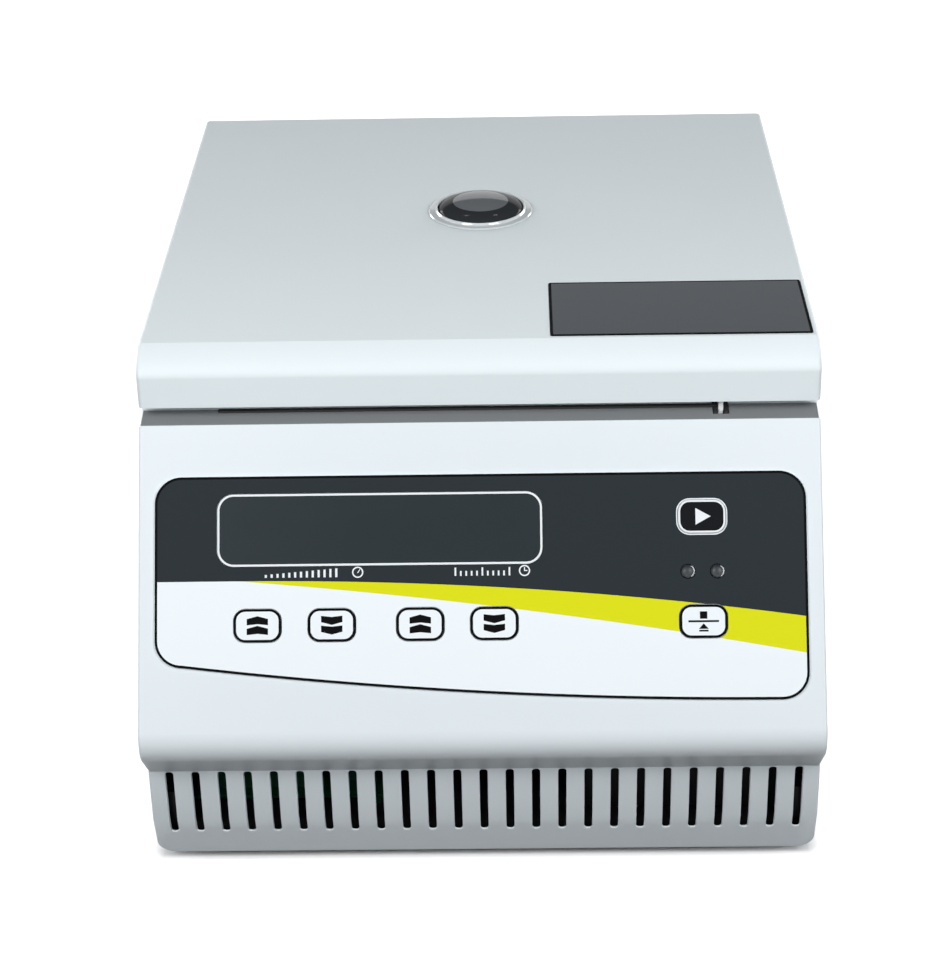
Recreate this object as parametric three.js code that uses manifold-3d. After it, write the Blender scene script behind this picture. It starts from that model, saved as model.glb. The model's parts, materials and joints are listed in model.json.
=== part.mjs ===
// A bench centrifuge for hematocrit tubes: a moulded casing with a sloping control panel and a slotted
// plinth, a full-width lid with a sight glass, and, inside, a bowl with a flat rotor for capillary tubes,
// driven by a motor that hangs on rubber mounts.
//
// Millimetres. X runs to the right, Y to the back and Z up. The origin is on the bench, under the middle
// of the footprint. The machine is sized from the inside out: the rotor sets the bowl, the bowl sets the
// width and depth, and the stack of fan, motor and bowl sets the height.

import * as THREE from "three";
import { mergeVertices } from "three/addons/utils/BufferGeometryUtils.js";
import Module from "manifold-3d";

const wasm = await Module();
wasm.setup();

// Fits that many pieces share
const seat = 0.3; // between two pieces that rest on each other
const slip = 0.4; // round a piece that turns or slides in a hole
const overrun = 2; // how far a cutter passes the faces that it cuts

// Rotor: a disc with radial grooves for capillary tubes, a rim with a rubber ring inside it, and a cover
const rotorRadius = 95;
const rotorGrooves = 24;
const rotorRimWall = 3.5;
const rotorRimHeight = 10;
const rotorWeb = 5;
const grooveWidth = 2.4;
const grooveDepth = 2;
const grooveStart = 20;
const rotorRingWidth = 3;
const rotorRingHeight = 4;
const rotorHubRadius = 15;
const rotorHubDrop = 6;
const rotorBossRadius = 12;
const rotorBossHeight = 3.6;
const coverThickness = 2.5;
const coverDishRadius = 30;
const coverDishHeight = 3;
const coverHoleRadius = 9;
const knobRadius = 16;
const knobHeight = 15;
const knobLobes = 6;
const knobScallop = 5;
const knobFlange = 2.5;

// Drive: shaft, bearings, motor, its frame and rubber mounts, and the fan under the motor
const shaftRadius = 6;
const studRadius = 4;
const studRise = 14;
const bearingRadius = 13;
const bearingWidth = 8;
const motorRadius = 42;
const motorCanHeight = 52;
const motorBottomHeight = 12;
const motorTopHeight = 10;
const motorBossRadius = 18;
const motorBossHeight = 4;
const motorEarReach = 57;
const motorEarRadius = 9;
const motorVentRadius = 4;
const motorVents = 6;
const mountCount = 3;
const mountRadius = 8;
const mountWaist = 1.5;
const mountHeight = 16;
const frameHalfWidth = 68;
const framePlate = 3;
const frameLeg = 10;
const frameHole = 46;
const fanRadius = 34;
const fanHeight = 12;
const fanDisc = 1.6;
const fanHubRadius = 10;
const fanBlades = 11;
const fanBladeWall = 1.6;
const fanBladeInset = 6;
const fanFloorGap = 8;
const fanMotorGap = 4;

// Bowl, its rubber boot round the shaft and the seal that the lid presses on
const rotorSideGap = 9;
const rotorFloorGap = 9;
const bowlDepth = 65;
const bowlWall = 1.5;
const bowlCorner = 12;
const bowlFlange = 8;
const bowlHoleRadius = 16;
const bootHeight = 13.4;
const bootWall = 2.5;
const sealWidth = 5;
const sealHeight = 3.8;
const sealLip = 1.5;

// Casing: one moulding, open below, with the deck as its top
const sideRoom = 28;
const frontRoom = 27;
const rearRoom = 17;
const casingWall = 2.5;
const casingEdge = 2;
const casingFootCorner = 8;
const footHeight = 9;
const skirtHeight = 16.7;
const skirtDrop = 4.5;
const skirtInset = 7;
const plinthReach = 70.5;
const plinthHeight = 42;
const noseReach = 90.1;
const noseHeight = 62.7;
const noseRadius = 12;
const shoulderReach = 15;
const shoulderDrop = 5;
const shoulderRadius = 4;
const ledgeReach = 4.2;
const ledgeDrop = 3.3;
const ledgeRadius = 1.5;
const deckLip = 1.5;
const deckEdgeRadius = 3;
const slotCount = 25;
const slotPitch = 10.94;
const slotWidth = 3.4;
const slotTopDrop = 0.6;
const slotHeight = 32;
const slotChamfer = 1;
const slotCutDepth = 7;
const rearOpeningMargin = 15;
const rearOpeningSill = 8;
const rearOpeningHead = 32;
const baseBossRadius = 5;
const baseBossHeight = 22;
const baseBossInset = 6;

// Base plate, feet and rear panel
const baseThickness = 2;
const baseFrontGap = 1;
const ventSlots = 7;
const ventPitch = 11;
const ventWidth = 3.6;
const ventLength = 62;
const footRadius = 13;
const footTopRadius = 11;
const footInsetX = 32;
const footInsetFront = 36.5;
const footInsetRear = 34;
const footRecessRadius = 5;
const footRecessDepth = 3;
const rearPanelThickness = 1.5;
const rearPanelLap = 6;
const louvreCount = 9;
const louvrePitch = 9;
const louvreWidth = 4;
const louvreHeight = 56;
const louvreInset = 24;
const louvreSill = 62;

// Power inlet with its fuse drawer, and the rocker switch, on the rear panel
const inletWidth = 28;
const inletHeight = 47;
const inletDepth = 24;
const inletFlange = 4;
const inletFlangeThickness = 3;
const inletInset = 52;
const inletSill = 10;
const socketWidth = 23;
const socketHeight = 16;
const socketDepth = 15;
const socketMargin = 3;
const socketChamfer = 4.5;
const contactWidth = 2;
const contactHeight = 5;
const contactLength = 10;
const contactSpacing = 7;
const contactOffset = 2;
const drawerWidth = 21;
const drawerHeight = 12;
const drawerDepth = 17;
const drawerLip = 1.4;
const switchWidth = 21;
const switchHeight = 28;
const switchDepth = 18;
const switchFlange = 2.5;
const switchFlangeThickness = 2;
const switchWall = 2.2;
const switchGap = 16;
const rockerTilt = 9;
const rockerRise = 3;
const rockerThickness = 7;
const rockerPivotRadius = 1.5;
const rockerEndGap = 1.2;

// Control panel on the slope, in its own frame: across, up the slope and outwards
const overlayMargin = 7;
const overlayHeight = 93;
const overlayDrop = 21.5;
const overlayRise = 15;
const overlayCorner = 11;
const overlayThickness = 0.6;
const windowWidth = 133.4;
const windowHeight = 30.2;
const windowCorner = 7;
const windowThickness = 3;
const windowAcrossShare = -0.154;
const windowUpShare = 0.262;
const keyWidth = 19.9;
const keyHeight = 14.1;
const keyCorner = 5;
const keyRise = 0.7;
const keyTravelGap = 0.9;
const keyStemWidth = 9;
const keyStemHeight = 6;
const keyRowShare = -0.157;
const keyPlaceShares = {
  key_speed_up: [-0.342, keyRowShare],
  key_speed_down: [-0.228, keyRowShare],
  key_time_up: [-0.0925, keyRowShare],
  key_time_down: [0.0207, keyRowShare],
  key_run: [0.34, 0.302],
  key_stop: [0.34, keyRowShare],
};
const lampRadius = 2.8;
const lampSpacing = 12;
const lampDome = 1.6;
const lampAcrossShare = 0.34;
const lampUpShare = 0.062;
const boardWidth = 240;
const boardHeight = 76;
const boardThickness = 1.6;
const boardDepth = 14.4;
const boardPostRadius = 4;
const boardPostInset = 6;
const switchBlock = 6;
const switchBlockHeight = 3.6;
const switchButtonRadius = 2;
const chipLength = 12;
const chipThickness = 3;
const plugLength = 18;
const plugDepth = 6;
const plugInset = 12;
const boardPartInset = 6;
const moduleWidth = 122;
const moduleHeight = 24;
const moduleFrame = 2.5;
const moduleRecess = 1.5;

// Lid: an extruded shell with a curved front, its liner, the sight glass and the bare plate
const lidGap = 1.5;
const lidHeight = 24;
const lidNose = 12;
const lidFrontHeight = 13;
const lidBrow = 5;
const lidWall = 2.5;
const lidEdge = 2;
const lidRearRadius = 4;
const linerThickness = 2;
const linerRimDrop = 2.4;
const linerRimWall = 1.8;
const glassRadius = 19.5;
const glassWall = 2.5;
const glassDome = 4.2;
const ringWidth = 4.1;
const ringHeight = 2;
const ringTopWidth = 2;
const nutWidth = 4.5;
const nutHeight = 6;
const plateWidth = 107.3;
const plateDepth = 53.5;
const plateThickness = 1.2;
const plateSideGap = 2.8;
const plateFrontGap = 2;
const plateProud = 0.3;

// Hinges behind the lid: base leaf, lid leaf and pin
const hingeSpread = 88;
const hingeWidth = 44;
const hingeLeafHeight = 18;
const hingeLeafThickness = 2;
const knuckleRadius = 3.7;
const hingePinRadius = 1.6;
const hingePinHead = 2.6;
const hingePinHeadLength = 1.5;

// Lid lock: a hook on the lid, a guide in the shoulder, and a bolt in the lock under the deck
const hookThickness = 2;
const hookWidth = 8;
const hookDrop = 26;
const hookWindow = 5.6;
const hookWindowDrop = 17.5;
const hookFoot = 15;
const hookFootThickness = 2;
const hookSideInset = 40.5;
const hookFrontGap = 1;
const guideWidth = 6.2;
const guideLength = 13;
const guideProud = 0.6;
const lockWidth = 34;
const lockLength = 20;
const lockHeight = 24;
const lockDrop = 9;
const lockHookSideGap = 0.8;
const lockHookEndGap = 1.6;
const boltRadius = 2.4;
const boltReach = 6;
const boltLength = 24;
const boltHeadRadius = 5;
const boltHeadLength = 4;
const lockPostRadius = 3;

// Power supply and drive board on the base plate
const supplyWidth = 84;
const supplyDepth = 50;
const supplyHeight = 36;
const supplyWall = 1.5;
const electronicsSideGap = 12;
const electronicsFrontGap = 18.5;
const driveBoardWidth = 84;
const driveBoardDepth = 50;
const driveBoardThickness = 1.6;
const driveStandoffHeight = 6;
const driveStandoffRadius = 3;
const driveStandoffInset = 6;
const heatSinkHeight = 24;
const heatSinkFins = 6;
const heatSinkFinWall = 2;
const heatSinkFinPitch = 6;
const heatSinkLength = 40;
const heatSinkInset = 10;
const heatSinkFoot = 4;
const capacitorRadius = 7;
const capacitorHeight = 20;
const capacitorPitch = 16.8;

// Sides of the round pieces, by how large and how visible they are
const bigSides = 36;
const rotorSides = 2 * rotorGrooves;
const midSides = 20;
const smallSides = 12;
const tinySides = 8;

// Places that follow from the sizes above
const bowlRadius = rotorRadius + rotorSideGap;
const flangeRadius = bowlRadius + bowlFlange;
const width = 2 * (flangeRadius + sideRoom);
const lidDepth = 2 * flangeRadius + frontRoom + rearRoom;

const baseTop = footHeight + baseThickness;
const fanZ = baseTop + fanFloorGap;
const motorZ = fanZ + fanHeight + fanMotorGap;
const canZ = motorZ + motorBottomHeight + seat;
const motorTopZ = canZ + motorCanHeight + seat;
const bowlZ = motorTopZ + motorTopHeight + bootHeight;
const chamberFloor = bowlZ + bowlWall;
const deckZ = chamberFloor + bowlDepth;
const rotorZ = chamberFloor + rotorFloorGap;
const lidZ = deckZ + lidGap;
const lidTop = lidZ + lidHeight;
const sealZ = deckZ + seat + bowlWall + seat;
const linerZ = sealZ + sealHeight + seat;

// The casing's rim hangs below the base plate, and its front leans back towards the bench
const rimZ = footHeight - skirtDrop;
const skirtInsetAtPlate = (skirtInset * skirtHeight) / (skirtHeight + skirtDrop);

// The casing's outline beside the lid's crease, as [y, z, corner radius]
const casingCorners = [
  [-plinthReach + skirtInset, rimZ, 0],
  [lidDepth, rimZ, 0],
  [lidDepth, deckZ, deckEdgeRadius],
  [-deckLip, deckZ, deckEdgeRadius],
  [-ledgeReach, deckZ - ledgeDrop, ledgeRadius],
  [-shoulderReach, deckZ - shoulderDrop, shoulderRadius],
  [-noseReach, footHeight + noseHeight, noseRadius],
  [-plinthReach, footHeight + plinthHeight, 0],
  [-plinthReach, footHeight + skirtHeight, 0],
];
const noseIndex = 6;
const nose = filletOf(casingCorners, noseIndex);
const noseFront = nose.centre.x - noseRadius;

const depth = lidDepth - noseFront + seat + 2 * knuckleRadius;
const creaseY = -depth / 2 - noseFront;
const rearY = creaseY + lidDepth;
const hingeY = rearY + seat + knuckleRadius;
const hingeZ = deckZ + lidGap / 2;
const chamberY = creaseY + frontRoom + flangeRadius;
const plinthY = creaseY - plinthReach;
const baseFrontY = plinthY + skirtInsetAtPlate + casingWall + baseFrontGap;

const colours = {
  casing: new THREE.MeshStandardMaterial({ color: 0xe6ebee, roughness: 0.45, metalness: 0 }),
  lid: new THREE.MeshStandardMaterial({ color: 0xe3e8ea, roughness: 0.4, metalness: 0 }),
  liner: new THREE.MeshStandardMaterial({ color: 0xd8dcdd, roughness: 0.55, metalness: 0 }),
  steel: new THREE.MeshStandardMaterial({ color: 0xb9bec2, roughness: 0.3, metalness: 0.9 }),
  aluminium: new THREE.MeshStandardMaterial({ color: 0xc4c8cb, roughness: 0.35, metalness: 0.85 }),
  paintedSteel: new THREE.MeshStandardMaterial({ color: 0xc9ced0, roughness: 0.5, metalness: 0.2 }),
  rubber: new THREE.MeshStandardMaterial({ color: 0x1b1c1e, roughness: 0.85, metalness: 0 }),
  blackPlastic: new THREE.MeshStandardMaterial({ color: 0x17191b, roughness: 0.5, metalness: 0 }),
  smokedAcrylic: new THREE.MeshStandardMaterial({ color: 0x53585c, roughness: 0.05, metalness: 0 }),
  plate: new THREE.MeshStandardMaterial({ color: 0x4b5056, roughness: 0.3, metalness: 0.1 }),
  film: new THREE.MeshStandardMaterial({ color: 0x33393c, roughness: 0.35, metalness: 0 }),
  keyWhite: new THREE.MeshStandardMaterial({ color: 0xeef3f6, roughness: 0.35, metalness: 0 }),
  keyDark: new THREE.MeshStandardMaterial({ color: 0x26292c, roughness: 0.35, metalness: 0 }),
  board: new THREE.MeshStandardMaterial({ color: 0x1f5a3a, roughness: 0.5, metalness: 0 }),
  lamp: new THREE.MeshStandardMaterial({ color: 0x4a4f52, roughness: 0.15, metalness: 0 }),
  copper: new THREE.MeshStandardMaterial({ color: 0xb06f3c, roughness: 0.4, metalness: 0.7 }),
};

// The rounding of one corner of an outline: its circle's centre, and where it starts and ends
function filletOf(corners, index) {
  const [before, here, after] = [index - 1, index, index + 1].map((i) => {
    const [x, y] = corners[(i + corners.length) % corners.length];
    return new THREE.Vector2(x, y);
  });
  const radius = corners[index][2];
  const back = before.clone().sub(here).normalize();
  const on = after.clone().sub(here).normalize();
  const half = Math.acos(THREE.MathUtils.clamp(back.dot(on), -1, 1)) / 2;
  const reach = radius / Math.tan(half);
  const bisector = back.clone().add(on).normalize();
  return {
    centre: here.clone().addScaledVector(bisector, radius / Math.sin(half)),
    start: here.clone().addScaledVector(back, reach),
    end: here.clone().addScaledVector(on, reach),
    turn: back.cross(on),
  };
}

// A closed shape through corners given as [x, y, radius]
function roundedShape(corners) {
  const shape = new THREE.Shape();
  corners.forEach(([x, y, radius], index) => {
    if (!radius) {
      if (index) shape.lineTo(x, y);
      else shape.moveTo(x, y);
      return;
    }
    const { centre, start, end, turn } = filletOf(corners, index);
    if (index) shape.lineTo(start.x, start.y);
    else shape.moveTo(start.x, start.y);
    const from = Math.atan2(start.y - centre.y, start.x - centre.x);
    const to = Math.atan2(end.y - centre.y, end.x - centre.x);
    shape.absarc(centre.x, centre.y, radius, from, to, turn > 0);
  });
  shape.closePath();
  return shape;
}

// Corners moved inwards, each edge by its own distance; edge i runs from corner i to the next one.
// The corners run anticlockwise.
function inset(corners, distances) {
  const count = corners.length;
  const edges = corners.map(([x, y], i) => {
    const [nextX, nextY] = corners[(i + 1) % count];
    const along = new THREE.Vector2(nextX - x, nextY - y).normalize();
    const inward = new THREE.Vector2(-along.y, along.x);
    const point = new THREE.Vector2(x, y).addScaledVector(inward, distances[i]);
    return { along, point };
  });
  return corners.map(([, , radius], i) => {
    const a = edges[(i + count - 1) % count];
    const b = edges[i];
    const between = b.point.clone().sub(a.point);
    const reach = between.cross(b.along) / a.along.cross(b.along);
    const corner = a.point.clone().addScaledVector(a.along, reach);
    const convex = a.along.cross(b.along) > 0;
    const change = convex ? -distances[i] : distances[i];
    return [corner.x, corner.y, radius ? Math.max(radius + change, 0) : 0];
  });
}

// A rectangle with rounded corners, as corners [x, y, radius]
function rectangle(x0, x1, y0, y1, radius) {
  return [
    [x0, y0, radius],
    [x1, y0, radius],
    [x1, y1, radius],
    [x0, y1, radius],
  ];
}

// A rectangle with its corners cut off, as the ends of narrow slots are
function chamfered(x0, x1, y0, y1, chamfer) {
  const corners = [
    [x0 + chamfer, y0],
    [x1 - chamfer, y0],
    [x1, y0 + chamfer],
    [x1, y1 - chamfer],
    [x1 - chamfer, y1],
    [x0 + chamfer, y1],
    [x0, y1 - chamfer],
    [x0, y0 + chamfer],
  ];
  return new THREE.Shape(corners.map(([x, y]) => new THREE.Vector2(x, y)));
}

// Solids, as three.js geometries in place

function block([x0, x1], [y0, y1], [z0, z1]) {
  const box = new THREE.BoxGeometry(x1 - x0, y1 - y0, z1 - z0);
  return box.translate((x0 + x1) / 2, (y0 + y1) / 2, (z0 + z1) / 2);
}

// A shape in the XY plane, raised from z0 to z1
function plate(shape, [z0, z1], curveSegments = 6) {
  const options = { depth: z1 - z0, bevelEnabled: false, curveSegments };
  return new THREE.ExtrudeGeometry(shape, options).translate(0, 0, z0);
}

const alongX = new THREE.Matrix4().makeBasis(
  new THREE.Vector3(0, 1, 0),
  new THREE.Vector3(0, 0, 1),
  new THREE.Vector3(1, 0, 0),
);
const alongY = new THREE.Matrix4().makeBasis(
  new THREE.Vector3(-1, 0, 0),
  new THREE.Vector3(0, 0, 1),
  new THREE.Vector3(0, 1, 0),
);

// A shape in the YZ plane, drawn along X, with its two end edges rounded by edge
function sideways(shape, [x0, x1], edge = 0, curveSegments = 6) {
  const options = {
    depth: x1 - x0 - 2 * edge,
    bevelEnabled: edge > 0,
    bevelThickness: edge,
    bevelSize: edge,
    bevelOffset: -edge,
    bevelSegments: 2,
    curveSegments,
  };
  const made = new THREE.ExtrudeGeometry(shape, options);
  return made.translate(0, 0, x0 + edge).applyMatrix4(alongX);
}

// A shape drawn from the front, X mirrored, along Y
function backwards(shape, [y0, y1], curveSegments = 6) {
  const options = { depth: y1 - y0, bevelEnabled: false, curveSegments };
  return new THREE.ExtrudeGeometry(shape, options).translate(0, 0, y0).applyMatrix4(alongY);
}

function rod(radius, [z0, z1], sides, [x, y] = [0, 0]) {
  const cylinder = new THREE.CylinderGeometry(radius, radius, z1 - z0, sides);
  return cylinder.rotateX(Math.PI / 2).translate(x, y, (z0 + z1) / 2);
}

function rodAlongX(radius, [x0, x1], sides, [y, z]) {
  const cylinder = new THREE.CylinderGeometry(radius, radius, x1 - x0, sides);
  return cylinder.rotateZ(Math.PI / 2).translate((x0 + x1) / 2, y, z);
}

// A profile of [radius, z] points, turned about Z
function turned(profile, sides) {
  const points = profile.map(([radius, z]) => new THREE.Vector2(radius, z));
  const lathe = new THREE.LatheGeometry([...points, points[0]], sides);
  return lathe.rotateX(Math.PI / 2);
}

// A solid for joining and cutting, whichever way round its faces were made
function asSolid(piece) {
  if (!piece.isBufferGeometry) return piece;
  const bare = piece.index ? piece.toNonIndexed() : piece.clone();
  bare.deleteAttribute("normal");
  bare.deleteAttribute("uv");
  const merged = mergeVertices(bare);
  const triVerts = new Uint32Array(merged.index.array);
  const vertProperties = merged.attributes.position.array;
  const made = new wasm.Manifold(new wasm.Mesh({ numProp: 3, vertProperties, triVerts }));
  if (made.volume() > 0) return made;
  const reversed = triVerts.slice().reverse();
  return new wasm.Manifold(new wasm.Mesh({ numProp: 3, vertProperties, triVerts: reversed }));
}

function join(...pieces) {
  return pieces.map(asSolid).reduce((whole, piece) => whole.add(piece));
}

function cut(body, ...cutters) {
  return cutters.map(asSolid).reduce((rest, cutter) => rest.subtract(cutter), asSolid(body));
}

function common(one, other) {
  return asSolid(one).intersect(asSolid(other));
}

function around(count, make) {
  return Array.from({ length: count }, (_, i) => make((2 * Math.PI * i) / count, i));
}

// count places, pitch apart, either side of zero
function row(count, pitch) {
  return Array.from({ length: count }, (_, i) => (i - (count - 1) / 2) * pitch);
}

function addPiece(group, name, piece, material) {
  const { vertProperties, triVerts, numProp, numVert } = asSolid(piece).getMesh();
  const position = new Float32Array(3 * numVert);
  for (let i = 0; i < numVert; i += 1) {
    position.set(vertProperties.subarray(i * numProp, i * numProp + 3), 3 * i);
  }
  const geometry = new THREE.BufferGeometry();
  geometry.setAttribute("position", new THREE.BufferAttribute(position, 3));
  geometry.setIndex(new THREE.BufferAttribute(new Uint32Array(triVerts), 1));
  geometry.computeVertexNormals();
  const mesh = new THREE.Mesh(geometry, material);
  mesh.name = name;
  group.add(mesh);
  return mesh;
}

// The control panel's own frame: X across, Y up the slope, Z outwards, at the middle of the overlay
const slopeTop = new THREE.Vector2(creaseY - shoulderReach, deckZ - shoulderDrop);
const slopeFoot = new THREE.Vector2(creaseY - noseReach, footHeight + noseHeight);
const upSlope = slopeTop.clone().sub(slopeFoot).normalize();
const overlayMiddle = slopeTop.clone().addScaledVector(upSlope, -overlayDrop - overlayHeight / 2);
const panelTilt = Math.atan2(upSlope.y, upSlope.x);
const panelMatrix = new THREE.Matrix4()
  .makeTranslation(0, overlayMiddle.x, overlayMiddle.y)
  .multiply(new THREE.Matrix4().makeRotationX(panelTilt));

const overlayWidth = width - 2 * overlayMargin;
const windowAcross = windowAcrossShare * overlayWidth;
const windowUp = windowUpShare * overlayHeight;
const keys = Object.entries(keyPlaceShares).map(([name, [acrossShare, upShare]]) => ({
  name,
  across: acrossShare * overlayWidth,
  up: upShare * overlayHeight,
}));
const lamps = [-lampSpacing / 2, lampSpacing / 2].map((offset, i) => ({
  name: ["lamp_left", "lamp_right"][i],
  across: lampAcrossShare * overlayWidth + offset,
  up: lampUpShare * overlayHeight,
}));
const boardUp = (windowUp + keyRowShare * overlayHeight) / 2;
const boardPosts = [-1, 1].flatMap((side) =>
  [-1, 1].map((end) => [
    side * (boardWidth / 2 - boardPostInset),
    boardUp + end * (boardHeight / 2 - boardPostInset),
  ]),
);

// The lock's place, at the right of the shoulder
const hookX = width / 2 - hookSideInset;
const hookFrontY = creaseY - lidNose + lidWall + hookFrontGap;
const hookMiddleY = hookFrontY + hookWidth / 2;
const boltZ = linerZ - hookWindowDrop - hookWindow / 2;
const lockTop = deckZ - lockDrop;

// Casing

function casingSlots() {
  const top = footHeight + plinthHeight - slotTopDrop;
  return row(slotCount, slotPitch).map((x) => {
    const left = x - slotWidth / 2;
    const slot = chamfered(left, left + slotWidth, top - slotHeight, top, slotChamfer);
    return backwards(slot, [plinthY - overrun, plinthY + slotCutDepth]);
  });
}

// Openings behind the overlay, for the window, the key stems and the lamps
function casingPanelCutters() {
  const through = [-casingWall - overrun, overrun];
  const opening = (across, up, wide, high) =>
    block(
      [across - wide / 2 - slip, across + wide / 2 + slip],
      [up - high / 2 - slip, up + high / 2 + slip],
      through,
    );
  return [
    opening(windowAcross, windowUp, windowWidth, windowHeight),
    ...keys.map(({ across, up }) => opening(across, up, keyStemWidth, keyStemHeight)),
    ...lamps.map(({ across, up }) => rod(lampRadius + slip, through, tinySides, [across, up])),
  ].map((cutter) => cutter.applyMatrix4(panelMatrix));
}

function boardPostSolids() {
  const reach = [-boardDepth + seat, -casingWall / 2];
  return boardPosts.map((place) =>
    rod(boardPostRadius, reach, tinySides, place).applyMatrix4(panelMatrix),
  );
}

// Screw bosses in the corners of the casing, standing on the base plate
const baseBosses = [-1, 1].flatMap((side) =>
  [baseFrontY + baseBossInset, rearY - casingWall - rearPanelThickness - baseBossInset].map((y) => [
    side * (width / 2 - casingWall - baseBossInset + seat),
    y + seat,
  ]),
);

function baseBossSolids() {
  return baseBosses.map(([x, y]) => {
    const boss = rod(baseBossRadius, [baseTop + seat, baseTop + baseBossHeight], tinySides, [x, y]);
    const outer = Math.sign(x) * (width / 2 - casingWall / 2);
    const rib = block(
      [Math.min(x, outer), Math.max(x, outer)],
      [y - casingWall / 2, y + casingWall / 2],
      [baseTop + seat, baseTop + baseBossHeight],
    );
    return join(boss, rib);
  });
}

function makeCasing() {
  const inPlace = ([y, z, radius]) => [y + creaseY, z, radius];
  const outer = sideways(
    roundedShape(casingCorners.map(inPlace)),
    [-width / 2, width / 2],
    casingEdge,
    3,
  );
  const walls = casingCorners.map((_, i) => (i ? casingWall : -overrun));
  const hollow = sideways(
    roundedShape(inset(casingCorners, walls).map(inPlace)),
    [-width / 2 + casingWall, width / 2 - casingWall],
    0,
    2,
  );
  const frontView = rectangle(-width / 2, width / 2, rimZ, deckZ, 0);
  frontView[0][2] = casingFootCorner;
  frontView[1][2] = casingFootCorner;
  const envelope = backwards(roundedShape(frontView), [-depth / 2 - overrun, depth / 2 + overrun], 2);
  const bowlHole = rod(
    bowlRadius + bowlWall + slip,
    [deckZ - casingWall - overrun, deckZ + overrun],
    bigSides,
  );
  const halfOpening = width / 2 - rearOpeningMargin;
  const rearOpening = block(
    [-halfOpening, halfOpening],
    [rearY - casingWall - overrun, rearY + overrun],
    [footHeight + rearOpeningSill, deckZ - rearOpeningHead],
  );
  const guideHole = block(
    [hookX - guideWidth / 2 - seat, hookX + guideWidth / 2 + seat],
    [hookMiddleY - guideLength / 2 - seat, hookMiddleY + guideLength / 2 + seat],
    [lockTop - overrun, deckZ + overrun],
  );
  const shell = cut(common(outer, envelope), hollow);
  return cut(
    join(shell, ...boardPostSolids(), ...baseBossSolids()),
    bowlHole.translate(0, chamberY, 0),
    rearOpening,
    guideHole,
    ...casingSlots(),
    ...casingPanelCutters(),
  );
}

// Base plate, with vent slots under the fan

const baseHalfWidth = width / 2 - casingWall - seat;
const footPlaces = {
  foot_front_left: [-width / 2 + footInsetX, baseFrontY + footInsetFront],
  foot_front_right: [width / 2 - footInsetX, baseFrontY + footInsetFront],
  foot_rear_left: [-width / 2 + footInsetX, rearY - footInsetRear],
  foot_rear_right: [width / 2 - footInsetX, rearY - footInsetRear],
};

function makeBasePlate() {
  const corner = Math.max(casingFootCorner - casingWall, casingEdge);
  const outline = rectangle(-baseHalfWidth, baseHalfWidth, baseFrontY, rearY - casingWall - seat, corner);
  const vents = row(ventSlots, ventPitch).map((x) =>
    block(
      [x - ventWidth / 2, x + ventWidth / 2],
      [chamberY - ventLength / 2, chamberY + ventLength / 2],
      [footHeight - overrun, baseTop + overrun],
    ),
  );
  return cut(plate(roundedShape(outline), [footHeight, baseTop], 3), ...vents);
}

function makeFoot() {
  return cut(
    turned(
      [
        [0, 0],
        [footRadius - casingEdge / 2, 0],
        [footRadius, casingEdge / 2],
        [footTopRadius, footHeight - seat],
        [0, footHeight - seat],
      ],
      smallSides,
    ),
    rod(footRecessRadius, [-overrun, footRecessDepth], tinySides),
  );
}

// Rear panel, behind the opening in the casing's back, with exhaust louvres and two cut-outs

const rearPanelY = rearY - casingWall - seat;
const rearPanelInsideY = rearPanelY - rearPanelThickness;
const inletX = width / 2 - inletInset;
const inletBottom = footHeight + rearOpeningSill + inletSill;
const inletMiddle = inletBottom + inletHeight / 2;
const switchX = inletX - inletWidth / 2 - switchGap - switchWidth / 2;

function makeRearPanel() {
  const half = width / 2 - rearOpeningMargin + rearPanelLap;
  const through = [rearPanelInsideY - overrun, rearPanelY + overrun];
  const body = block(
    [-half, half],
    [rearPanelInsideY, rearPanelY],
    [baseTop + seat, deckZ - rearOpeningHead + rearPanelLap],
  );
  const louvreZ = footHeight + louvreSill;
  const louvres = row(louvreCount, louvrePitch).map((x) => {
    const left = x - louvreWidth / 2 - louvreInset;
    const louvre = chamfered(-left - louvreWidth, -left, louvreZ, louvreZ + louvreHeight, slotChamfer);
    return backwards(louvre, through);
  });
  const hole = (x, z, wide, high) =>
    block(
      [x - wide / 2 - seat, x + wide / 2 + seat],
      through,
      [z - high / 2 - seat, z + high / 2 + seat],
    );
  return cut(
    body,
    ...louvres,
    hole(inletX, inletMiddle, inletWidth, inletHeight),
    hole(switchX, inletMiddle, switchWidth, switchHeight),
  );
}

// Power inlet: a socket with three contacts below, and the fuse drawer's slot above
const socketZ = inletBottom + socketMargin + socketHeight / 2;
const drawerZ = inletBottom + inletHeight - socketMargin - drawerHeight / 2;
const inletFaceY = rearPanelY + seat + inletFlangeThickness;

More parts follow.
